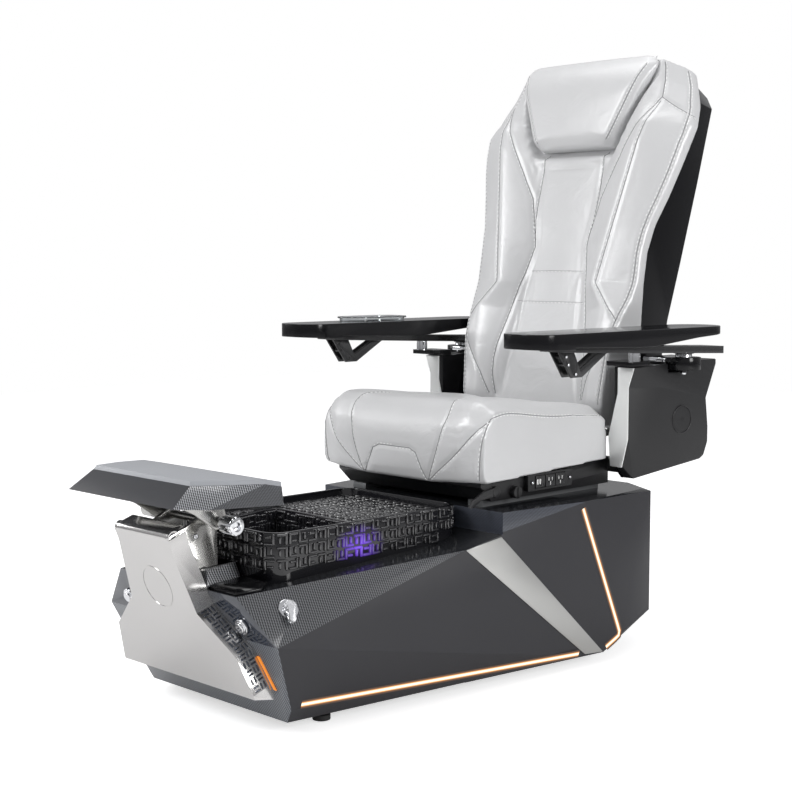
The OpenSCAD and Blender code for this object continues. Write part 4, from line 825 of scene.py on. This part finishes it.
# --- Footrest posts and deck covers ---------------------------------------------
# Laser-cut steel uprights on a foot plate, hidden by a moulded riser. Two glossy
# covers beside it close the openings to the valves.
plate_steel = finish("plate_steel", (0.54, 0.535, 0.515), 0.22, metal=0.92, scale=120, bump=0.02)
eased("footrest_post", "posts", 0.8, plate_steel)
coarse_carbon = woven("coarse_carbon", (0.012, 0.012, 0.014), (0.34, 0.35, 0.37), 7.0, 0.3)
eased("post_cover", "riser", 3, coarse_carbon)
gloss_black = tune(finish("gloss_black", (0.005, 0.005, 0.006), 0.14, scale=220, bump=0.012, coat=0.1),
                   Specular_IOR_Level=0.25)
eased("deck_covers", "valve_covers", 1.5, gloss_black)

# --- Footrest -------------------------------------------------------------------
# A moulded tray-shaped rest on a steel shaft: plain front, carbon weave at the corners
# and sides, and a thin foam pad in pale vinyl on top. A ribbed knob locks its tilt.
fine_carbon = woven("fine_carbon", (0.010, 0.010, 0.012), (0.12, 0.125, 0.135), 4.6, 0.32)
foot_charcoal = finish("foot_charcoal", (0.026, 0.027, 0.032), 0.40, scale=1600, bump=0.2, vary=0.1)


def foot_paint(centre, normal):
    """Plain front, fine weave on the sides, and a coarse weave on the corners whose paler tows are partly
    painted highlight
    """
    plain_face, side_face, corner = range(3)
    if abs(normal.x) > 0.8:
        return side_face
    return corner if abs(normal.x) > 0.3 and normal.z > -0.9 else plain_face


# The corner facets' weave is painted much paler than the sides' weave: a painted highlight on carbon that is
# really there
eased("footrest_shell", "footrest_moulding", 2.5, foot_charcoal, fine_carbon, coarse_carbon,
      segments=3, choose=foot_paint, sharp=24)
pad_vinyl = finish("pad_vinyl", (0.34, 0.352, 0.374), 0.40, scale=1300, bump=0.25)
pad = eased("footrest_pad", "footrest_top", 3.5, pad_vinyl, segments=4, sharp=40)
eased("footrest_arms", "footrest_frame", 0.8, plate_steel)
eased("clamp_knob", "tilt_clamp", 1.0, chrome)
laid("post_bolts", "base", ring_mesh("bolt", 6, 6, 2.5, 24),
     [facing(at(s * 60.2, y, z), Y, X * s)
      for s in (1, -1) for y, z in ((-130, 372), (-96, 392), (-130, 345))], chrome)

# --- Seat frame -----------------------------------------------------------------
# Steel slide rails, the pressed black pan with its power outlets, slide lever and tilt
# knob, and the geared recliner motor.
rail_steel = finish("rail_steel", (0.16, 0.165, 0.17), 0.4, metal=0.6, scale=900, bump=0.1)
wear(rail_steel, "seat_rails")
pan_black = finish("pan_black", (0.010, 0.010, 0.011), 0.38, scale=1300, bump=0.12)
eased("seat_pan", "seat_frame", 2, pan_black)
satin_black = finish("satin_black", (0.016, 0.016, 0.017), 0.33, scale=1300, bump=0.1)
eased("outlet_box", "outlet_panel", 1.2, pan_black)
socket_black = finish("socket_black", (0.022, 0.022, 0.023), 0.28, scale=1300, bump=0.06)
eased("outlet_sockets", "sockets", 0.6, socket_black)
usb_white = finish("usb_white", (0.75, 0.75, 0.74), 0.4)
PANEL_X, SOCKET_X = 252.2, 250.3
OUTLET_Y, OUTLET_Z = 707, 436
OUTLET_PITCH = 36
laid("usb_ports", "seat", pill("port", 13, 5.5, 1.2),
     [facing(at(SOCKET_X, OUTLET_Y + 36.5 + dy, OUTLET_Z), Z, X) for dy in (-5, 4)], usb_white)
laid("socket_slots", "seat", pill("slot", 8.5, 2.4, 0.5),
     [facing(at(SOCKET_X, OUTLET_Y + 42 + OUTLET_PITCH * i + dy, OUTLET_Z + dz), Z, X)
      for i in (1, 2) for dy, dz in ((-6, 3), (6, 3), (0, -7))], usb_white)
laid("panel_screws", "seat", ring_mesh("screw", 3.6, 3.6, 1.6, 20),
     [facing(at(PANEL_X, OUTLET_Y + dy, OUTLET_Z), Y, X) for dy in (12, 147)], chrome)
eased("slide_lever", "slide_handle", 1.2, satin_black)
eased("tilt_knob", "tilt_dial", 1.0, satin_black)
motor_steel = finish("motor_steel", (0.33, 0.33, 0.34), 0.35, metal=0.8, scale=300, bump=0.08)
wear(motor_steel, "recline_motor")

# --- Seat cushion ---------------------------------------------------------------
# Foam in a sewn cover of satin-silver vinyl: a waterfall front in four panels with a
# small trapezoid in its middle, double-stitched corners and piping along the sides.
def ease(t, a, b):
    u = min(1.0, max(0.0, (t - a) / (b - a)))
    return u * u * (3 - 2 * u)


def along(t, pairs):
    """The value at t on the line through the pairs, level beyond its ends"""
    if t <= pairs[0][0]:
        return pairs[0][1]
    for (a, low), (b, high) in zip(pairs, pairs[1:]):
        if t < b:
            return low + (high - low) * (t - a) / (b - a)
    return pairs[-1][1]


SEAT_HALF = 265
SEAT_FRONT = 518
SEAT_REAR = 984
SEAT_CROWN = ((518, 596), (545, 616), (575, 627), (610, 628), (665, 622), (755, 611), (845, 604), (984, 592))
SEAT_STEPS = 44


def seat_under(y):
    return 449 + 20 * (y - SEAT_FRONT) / (SEAT_REAR - SEAT_FRONT)


def seat_top(x, y):
    a = abs(x) / SEAT_HALF
    return along(y, SEAT_CROWN) + 4 * ease(a, 0.45, 0.6) - 22 * ease(a, 0.8, 1)


def seat_ring(x):
    """The cushion's outline at x from the middle: its upper side, then its underside"""
    a = abs(x) / SEAT_HALF
    front = SEAT_FRONT + 18 * ease(a, 0.7, 1)
    rear = SEAT_REAR - 8 * ease(a, 0.8, 1)
    lip = 8 * (1 - ease(a, 0.35, 0.8))
    run = rear - front - 64
    upper = [(rear, seat_under(rear) + 2), (rear, seat_under(rear) + 60), (rear - 4, seat_top(x, rear) - 10)]
    upper += [(y, seat_top(x, y)) for y in (rear - 20 - run * i / SEAT_STEPS for i in range(SEAT_STEPS + 1))]
    upper += [(front + 38, seat_top(x, front + 38) - 2), (front + 26, seat_top(x, front + 26) - 8),
              (front + 15, seat_top(x, front + 15) - 17), (front + 7, seat_top(x, front) - 22),
              (front + 3, 556), (front, 530), (front, 500), (front + 2, 476 - lip),
              (front + 7, seat_under(front) + 8 - lip)]
    last = len(upper) - 1
    lower = []
    for i in range(len(upper)):
        y = front + 16 + (rear - front - 18) * i / last
        lower.append((y, seat_under(y) - lip * (1 - ease(y, front + 12, front + 60))))
    return [(x, y, z) for y, z in upper], [(x, y, z) for y, z in lower]


def arc_steps(half, steps):
    """Places from -half to half, closer together towards both ends"""
    return [half * math.sin(math.pi / 2 * i / steps) for i in range(-steps, steps + 1)]


def ladder(name, rings, place):
    """A closed mesh through rings of two halves that run there and back"""
    form = bmesh.new()
    loops = [[form.verts.new(place(*p)) for p in there + back] for there, back in rings]
    lofted(form, loops)
    count = len(loops[0])
    for loop in (loops[0], loops[-1]):
        for i in range(count // 2 - 1):
            form.faces.new((loop[i], loop[i + 1], loop[count - 2 - i], loop[count - 1 - i]))
    bmesh.ops.recalc_face_normals(form, faces=form.faces)
    return meshed(form, name)


def stepped(line, step=0.004):
    """A line of places with steps no longer than this"""
    result = [line[0]]
    for a, b in zip(line, line[1:]):
        count = max(1, math.ceil((b - a).length / step))
        result += [a.lerp(b, i / count) for i in range(1, count + 1)]
    return result


def rounded_line(line, passes=2):
    """The line with its corners cut"""
    for _ in range(passes):
        cut = [line[0]]
        for a, b in zip(line, line[1:]):
            cut += [a.lerp(b, 0.25), a.lerp(b, 0.75)]
        line = cut + [line[-1]]
    return line


VOXEL = 5
PRESSURE = 4
SWELL_FRAMES = 20
SEAM_NEAR, SEAM_FAR = 0.003, 0.03
GROOVE_W, GROOVE_DEPTH = 0.011, 0.0032


def stuffed(name, start_mesh, seams, held, cap):
    """Foam under a sewn vinyl cover: the form swells between its seams and where nothing holds it"""
    piece = bpy.data.objects.new(name, start_mesh)
    scene.collection.objects.link(piece)
    remesh = piece.modifiers.new("remesh", "REMESH")
    remesh.mode = "VOXEL"
    remesh.voxel_size = VOXEL * MM
    even = piece.modifiers.new("even", "SMOOTH")
    even.factor = 0.5
    even.iterations = 4
    mesh = baked(piece)
    seam_spots = [spot for seam in seams for spot in seam]
    spots = KDTree(len(seam_spots))
    for i, spot in enumerate(seam_spots):
        spots.insert(spot, i)
    spots.balance()
    rest = [v.co.copy() for v in mesh.vertices]
    gaps = [spots.find(co)[2] for co in rest]
    pinned = piece.vertex_groups.new(name="pinned")
    hold = [max(held(co), 1 - ease(gap, SEAM_NEAR, SEAM_FAR)) for co, gap in zip(rest, gaps)]
    for index, weight in enumerate(hold):
        if weight > 0:
            pinned.add([index], weight, "REPLACE")
    cloth = piece.modifiers.new("cloth", "CLOTH")
    cloth.settings.use_pressure = True
    cloth.settings.uniform_pressure_force = PRESSURE
    cloth.settings.effector_weights.gravity = 0
    cloth.settings.quality = 4
    cloth.settings.tension_stiffness = 25
    cloth.settings.compression_stiffness = 12
    cloth.settings.vertex_group_mass = "pinned"
    cloth.collision_settings.use_collision = False
    for count in range(1, SWELL_FRAMES + 1):
        scene.frame_set(count)
    baked(piece)
    scene.frame_set(1)
    mesh = piece.data
    for vertex, spot, weight in zip(mesh.vertices, rest, hold):
        moved = (vertex.co - spot) * (1 - weight)
        if moved.length > cap * MM:
            moved *= cap * MM / moved.length
        vertex.co = spot + moved
    normals = [v.normal.copy() for v in mesh.vertices]
    for vertex, normal, gap in zip(mesh.vertices, normals, gaps):
        if gap < GROOVE_W:
            vertex.co -= normal * GROOVE_DEPTH * (1 - gap / GROOVE_W) ** 1.6
    piece.vertex_groups.clear()
    finer = piece.modifiers.new("finer", "SUBSURF")
    finer.levels = 1
    finer.render_levels = 1
    mesh = baked(piece)
    smooth(mesh, 180)
    mesh.materials.clear()
    mesh.materials.append(vinyl)
    return piece


CORD_R = 0.0009
STITCH_PITCH = 0.0085


def sewn(name, body, cover, seams, rows, groove):
    """Seam lines laid on a cover, and stitches beside them. Rows are how far to each side."""
    skin_tree = BVHTree.FromObject(cover, bpy.context.evaluated_depsgraph_get())
    stitches = []
    form = bmesh.new()
    for seam in seams:
        track = []
        for spot in seam:
            hit, normal, _, gap = skin_tree.find_nearest(spot)
            if hit and gap < SEAM_FAR:
                track.append((hit, normal))
        loops = []
        since = 0.0
        for i, (spot, normal) in enumerate(track):
            run = track[min(len(track) - 1, i + 1)][0] - track[max(0, i - 1)][0]
            if run.length < 1e-6:
                continue
            run = (run - normal * run.dot(normal)).normalized()
            sideways = run.cross(normal)
            middle = spot - normal * 0.0002
            loops.append([form.verts.new(middle + (sideways * math.cos(a) + normal * math.sin(a)) * CORD_R)
                          for a in (math.tau * k / 6 for k in range(6))])
            if i:
                since += (spot - track[i - 1][0]).length
            if since > STITCH_PITCH:
                since = 0.0
                for row in rows:
                    hit, out, _, _ = skin_tree.find_nearest(spot + sideways * row * MM)
                    if hit:
                        stitches.append(facing(hit, run, out))
        lofted(form, loops)
    bmesh.ops.recalc_face_normals(form, faces=form.faces)
    put(name + "_lines", meshed(form, name + "_lines", 180), body, groove)
    laid(name + "_stitches", body, pill(name + "_stitch", 6.2, 1.7, 1.1, 4), stitches, thread)


def both_sides(lines):
    return [[(s * x, *rest) for x, *rest in line] for line in lines for s in (1, -1)]


vinyl = finish("silver_vinyl", (0.635, 0.638, 0.643), 0.38, metal=0.16, scale=700, bump=0.30, vary=0.03,
               coat=0.1)
tree = vinyl.node_tree
wrinkle = add(tree, "ShaderNodeTexNoise", Vector=add(tree, "ShaderNodeTexCoord").outputs["Object"],
              Scale=13, Detail=6, Distortion=1.4)
creases = add(tree, "ShaderNodeBump", Strength=0.26, Distance=0.007, Height=wrinkle.outputs["Fac"])
feed(tree, tree.nodes["relief"], Normal=creases.outputs["Normal"])
tune(vinyl, Sheen_Weight=0.1)
thread = finish("pale_thread", (0.92, 0.92, 0.92), 0.5)
seam_grey = finish("seam_shadow", (0.17, 0.17, 0.175), 0.7)

seat_seams = both_sides([
    [(108, 518, 445), (152, 516, 480), (196, 518, 514), (225, 526, 548), (246, 536, 573), (262, 560, 592)],
    [(106, 519, 445), (124, 518, 486), (141, 517, 532), (148, 520, 565), (157, 530, 590), (156, 552, 614),
     (136, 596, 627), (128, 700, 618), (124, 840, 604), (122, 975, 592)],
    [(0, 517, 517), (66, 517, 517), (84, 518, 480), (103, 519, 445)],
    [(262, 562, 596), (262, 548, 574), (256, 537, 529), (250, 535, 455)],
])
piping = both_sides([[(262, 562, 596), (263, 607, 605), (262, 655, 601), (262, 703, 594), (262, 770, 586),
                      (261, 874, 581), (258, 976, 577)]])
seat_lines = [stepped(rounded_line([at(*p) for p in line], 1)) for line in seat_seams]
piping_lines = [stepped(rounded_line([at(*p) for p in line])) for line in piping]
seat_form = ladder("seat_form", [seat_ring(x) for x in arc_steps(SEAT_HALF, 48)], at)


def seat_held(spot):
    y = (spot.y - FRONT_EDGE_Y) / MM
    return 1 - ease(spot.z / MM - seat_under(y), 2, 34)


seat = stuffed("seat_cover", seat_form, seat_lines + piping_lines, seat_held, 9)
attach(seat, "seat")
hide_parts("seat_cushion")
sewn("seat_sewing", "seat", seat, seat_lines, (3.4,), seam_grey)
sewn("seat_piping", "seat", seat, piping_lines, (3.0, -3.0), seam_grey)

# --- Arms -----------------------------------------------------------------------
# Black steel side plates with faceted charcoal covers, silver trims at their front
# ends, and a bare raised ring on each cover. Black caps carry the trays' rest pins.
arm_charcoal = finish("arm_charcoal", (0.010, 0.010, 0.011), 0.42, scale=1300, bump=0.2)
wear(gloss_black, "arm_plates")
for word in ("right", "left"):
    eased("arm_shell_" + word, "arm_cover_" + word, 4, arm_charcoal, segments=3, angle=12, sharp=18)
satin_silver = finish("satin_silver", (0.80, 0.81, 0.80), 0.36, metal=0.35, scale=200, bump=0.03)
eased("arm_trims", "front_trims", 1.2, satin_silver)
eased("arm_caps", "tray_rests", 2, gloss_black, segments=3)
laid("rest_sleeves", "seat", ring_mesh("sleeve", 14, 4, 26, 32),
     [facing(at(s * 350, 967, 708.2), X, Z) for s in (1, -1)], chrome)
RING_PLACE = (500, 1159, 558)
ring_spots = []
for side, word in ((1, "right"), (-1, "left")):
    tree = BVHTree.FromObject(bpy.data.objects["arm_cover_" + word], bpy.context.evaluated_depsgraph_get())
    hit, normal, _, _ = tree.ray_cast(at(side * RING_PLACE[0], *RING_PLACE[1:]), -side * X)
    ring_spots.append(facing(hit, Y, normal))
laid("arm_rings", "seat", ring_mesh("arm_ring", 35, 3, 1.5), ring_spots, satin_black)
laid("arm_discs", "seat", ring_mesh("arm_disc", 31, 31, 0.8), ring_spots, arm_charcoal)
HUB_X, HUB_Y = 366, 1143
HUB_R = 43
PLATE_Z = 712.5
# Middle and half width of the steel plate beside each bearing
PLATE_X, PLATE_HALF = 319, 30.5


def hub_paint(centre, normal):
    """Black bearings on steel plates"""
    from_axis = math.hypot(abs(centre.x) - HUB_X * MM, centre.y - at(0, HUB_Y, 0).y)
    bearing = from_axis < HUB_R * MM and centre.z < PLATE_Z * MM
    return 1 if bearing and abs(abs(centre.x) - PLATE_X * MM) > PLATE_HALF * MM else 0


eased("swing_hubs", "bearings", 1.0, chrome, gloss_black, choose=hub_paint)

# --- Trays ----------------------------------------------------------------------
# Gloss black boards with thick rounded fronts on steel beams. Each swings out on a pin
# over the arm; a triangular brace stiffens its front.
tray_black = tune(finish("tray_black", (0.005, 0.005, 0.006), 0.16, scale=180, bump=0.008, coat=0.1),
                  Specular_IOR_Level=0.22)
beam_black = finish("beam_black", (0.014, 0.014, 0.015), 0.26, scale=900, bump=0.04, coat=0.3)
for side, word in ((1, "right"), (-1, "left")):
    eased("tray_board_" + word, "tray_" + word, 9, tray_black, segments=5, angle=40, sharp=50)
    eased("tray_beam_" + word, "beam_" + word, 2, beam_black, segments=3)
    eased("tray_bracket_" + word, "brace_" + word, 0.8, beam_black)
    body = "tray_r" if side > 0 else "tray_l"
    studs = [facing(at(side * 385.5, y, z), Y, side * X) for y, z in ((672, 734), (680, 716), (706, 694))]
    laid("brace_studs_" + word, body, ring_mesh("stud", 3.4, 3.4, 1.4, 16), studs, bright_chrome)
laid("hub_studs", "seat", ring_mesh("hub_stud", 7, 7, 5, 24),
     [facing(at(s * HUB_X, HUB_Y, 674), X, -Z) for s in (1, -1)], chrome)

# --- Glass dish -----------------------------------------------------------------
# A clear bowl for soaking fingertips, let into the left tray.
glass = tune(finish("clear_glass", (0.93, 0.96, 0.97), 0.04, bump=0.0, vary=0.01), Transmission_Weight=1.0)
eased("glass_dish", "soaking_bowl", 1.5, glass, segments=3)

# --- Back -----------------------------------------------------------------------
# A steel frame with crossbars carries the massage rails, the gloss rear shell and the
# back cushion. The whole leans back by 12.55 degrees and turns on the recliner shaft.
wear(plate_steel, "back_frame", "back_crossbars")
eased("back_shell", "rear_shell", 3.5, gloss_black, segments=3, angle=16, sharp=30)
wear(chrome, "massage_rails")
eased("massage_carriage", "carriage", 1.2, box_grey)
roller_rubber = finish("roller_rubber", (0.03, 0.03, 0.03), 0.6, scale=800, bump=0.2)
eased("massage_rollers", "rollers", 2.5, roller_rubber, segments=3)

# --- Back cushion ---------------------------------------------------------------
# Foam in the same vinyl: a sunk middle panel between side bolsters that widen to
# wings at the shoulders and wrap round the rear shell. Straight seams cross the bolsters.
LEAN = math.radians(12.55)
BACK_Y = 1022
BACK_Z = 600
BACK_LOW = -58
BACK_TOP = 846
WING_X = 206
PAD_T = 66
POCKET_D = 34


def leaning(x, d, w):
    """A place across, behind and up the leaning back"""
    return at(x, BACK_Y + d * math.cos(LEAN) + w * math.sin(LEAN),
              BACK_Z - d * math.sin(LEAN) + w * math.cos(LEAN))


def back_half(w):
    return along(w, ((-58, 224), (0, 231), (150, 243), (200, 250), (250, 260), (300, 264), (380, 264),
                     (447, 272), (520, 293), (600, 314), (700, 332), (760, 314), (846, 275)))


def wing_depth(w):
    return along(w, ((-58, 72), (100, 90), (150, 88), (200, 72), (250, 51), (300, 38.5), (380, 35), (447, 40),
                     (520, 50), (600, 57), (700, 72), (760, 97), (846, 115)))


def wing_fall(w):
    """How far the wing falls back from its crest to its outer edge"""
    return along(w, ((150, 0), (200, 11), (250, 26), (300, 34.5), (380, 30), (447, 35), (520, 44.5),
                     (600, 51.5), (700, 59), (760, 49), (846, 44.5)))


def crest(w):
    line = along(w, ((196, 240), (293, 156), (750, 240), (846, 222)))
    return max(panel_half(w) + 24, min(back_half(w) - 40, line))


def pillow_half(w):
    return along(w, ((640, 122), (860, 214)))


def panel_half(w):
    return along(w, ((-58, 150), (120, 104), (415, 88), (520, 106), (640, 130), (846, 185)))


def bolster(w):
    return along(w, ((-58, 8), (0, 30), (100, 39), (150, 42), (300, 34), (650, 32), (700, 23), (750, -9),
                     (800, -32), (846, -41)))


def risen(d, w):
    """The cushion's top rises towards its front"""
    return w + (46 - 0.4 * d) * ease(w, 740, BACK_TOP)


def pocket(a, w):
    """How far a place is inside the pillow's pocket, 0 to 1"""
    edge = pillow_half(risen(POCKET_D, w)) + 4
    return ease(w, 622, 644) * (1 - ease(a, edge, edge + 12))


def back_front(x, w):
    """Depth of the cushion's front face behind the leaning plane"""
    a = abs(x)
    half = back_half(w)
    panel = panel_half(w)
    top = crest(w)
    u = min(1.0, max(0.0, a - half + 13) / 13)
    return (14 * (1 - ease(a, panel - 20, panel + 26)) * (1 - ease(w, 600, 650)) + POCKET_D * pocket(a, w)
            - bolster(w) * (1 - pocket(a, w)) * ease(a, panel, top)
            + wing_fall(w) * min(1.0, max(0.0, (a - top) / (half - top)))
            + 13 * (1 - math.sqrt(1 - u * u)) + 20 * (1 - ease(w, -58, -20)))


def back_rear(x, w):
    """Depth of the cushion's rear face: a flat pad between wings that wrap the shell"""
    return wing_depth(w) if abs(x) > WING_X else PAD_T


def back_ring(w):
    half = back_half(w)
    there, back = [], []
    for x in arc_steps(half, 46):
        d = back_front(x, w)
        there.append((x, d, risen(d, w)))
        rear = back_rear(x, w) - (7 * ease(abs(x), half - 8, half) if abs(x) > WING_X else 0)
        back.insert(0, (x, rear, risen(rear, w)))
    return there, back


back_seams = both_sides([
    [(97, 640), (98, 480), (86, 410), (84, 385), (140, 150), (150, 70), (140, 0)],
    [(244, 766), (112, 520), (86, 410)],
    [(244, 757), (163, 291), (245, 195)],
    [(244, 766), (330, 722)],
    [(244, 766), (224, 838)],
    [(239, 150), (176, 54), (152, 0)],
])
panel_rows = [[(-84, 328), (84, 328)], [(-108, 247), (108, 247)]]
EDGE_HEIGHTS = (838, 760, 722, 690, 600, 520, 447, 380, 300, 250, 200, 150, 60, -10)
edge_lines = both_sides([[(back_half(w) - 9, w) for w in EDGE_HEIGHTS]])


def on_back(line, passes=0):
    """A line given across and up the cushion's front, in small steps on its face"""
    flat = [Vector((x, w, 0)) for x, w in line]
    track = stepped(rounded_line(flat, passes) if passes else flat, 4.0)
    return [leaning(p.x, d, risen(d, p.y)) for p in track for d in [back_front(p.x, p.y)]]


back_lines = [on_back(line, 1 if len(line) > 3 else 0) for line in back_seams]
back_edges = [on_back(line, 1) for line in edge_lines]
row_lines = [on_back(line) for line in panel_rows]
BACK_STEPS = 132
back_heights = [BACK_LOW + (BACK_TOP - BACK_LOW) * i / BACK_STEPS for i in range(BACK_STEPS + 1)]
back_form = ladder("back_form", [back_ring(w) for w in back_heights], leaning)


def back_place(spot):
    """A place in the frame as across, behind and up the leaning back"""
    y = (spot.y - FRONT_EDGE_Y) / MM - BACK_Y
    z = spot.z / MM - BACK_Z
    return spot.x / MM, y * math.cos(LEAN) - z * math.sin(LEAN), y * math.sin(LEAN) + z * math.cos(LEAN)


def back_held(spot):
    x, d, w = back_place(spot)
    rear = back_rear(x, w)
    return max(ease(d, rear - 16, rear - 5), pocket(abs(x), w), 1 - ease(w, -52, 10))


cushion = stuffed("back_cover", back_form, back_lines + back_edges, back_held, 8)
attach(cushion, "back")
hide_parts("back_cushion")
sewn("back_sewing", "back", cushion, back_lines, (3.2,), seam_grey)
sewn("back_edging", "back", cushion, back_edges, (4.0, -4.0), seam_grey)
faint_grey = finish("faint_seam", (0.40, 0.40, 0.41), 0.6)
sewn("back_rows", "back", cushion, row_lines, (2.6,), faint_grey)

# --- Head pillow ----------------------------------------------------------------
# A tapered pillow in the same vinyl, wider at the top, held in a pocket of the back
# cushion. Its right and left edges are double-stitched.
PILLOW_LOW = 646
PILLOW_HIGH = 886
PILLOW_STEPS = 50


def pillow_ring(w):
    t = (w - PILLOW_LOW) / (PILLOW_HIGH - PILLOW_LOW)
    half = pillow_half(w) - 9 * (1 - ease(t, 0, 0.08)) - 12 * ease(t, 0.9, 1)
    front = -17 + 16 * (1 - ease(t, 0, 0.12)) + 44 * (max(0, t - 0.55) / 0.45) ** 2
    there, back = [], []
    for x in arc_steps(half, 30):
        bulge = 13 * ease(abs(x), half - 26, half) - 5 * math.cos(math.pi / 2 * x / half)
        there.append((x, front + bulge, w))
        back.insert(0, (x, 33.4 - 4 * ease(abs(x), half - 6, half), w))
    return there, back


pillow_heights = [PILLOW_LOW + (PILLOW_HIGH - PILLOW_LOW) * i / PILLOW_STEPS for i in range(PILLOW_STEPS + 1)]
pillow_form = ladder("pillow_form", [pillow_ring(w) for w in pillow_heights], leaning)
pillow_edges = []
for side in (1, -1):
    line = [Vector((side * (pillow_half(w) - 13), w, 0)) for w in range(654, 880, 12)]
    pillow_edges.append([leaning(p.x, -16, p.y) for p in stepped(line, 4.0)])


def pillow_held(spot):
    return ease(back_place(spot)[1], 12, 24)


pillow = stuffed("pillow_cover", pillow_form, pillow_edges, pillow_held, 7)
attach(pillow, "back")
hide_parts("head_pillow")
sewn("pillow_sewing", "back", pillow, pillow_edges, (3.6, -3.6), seam_grey)
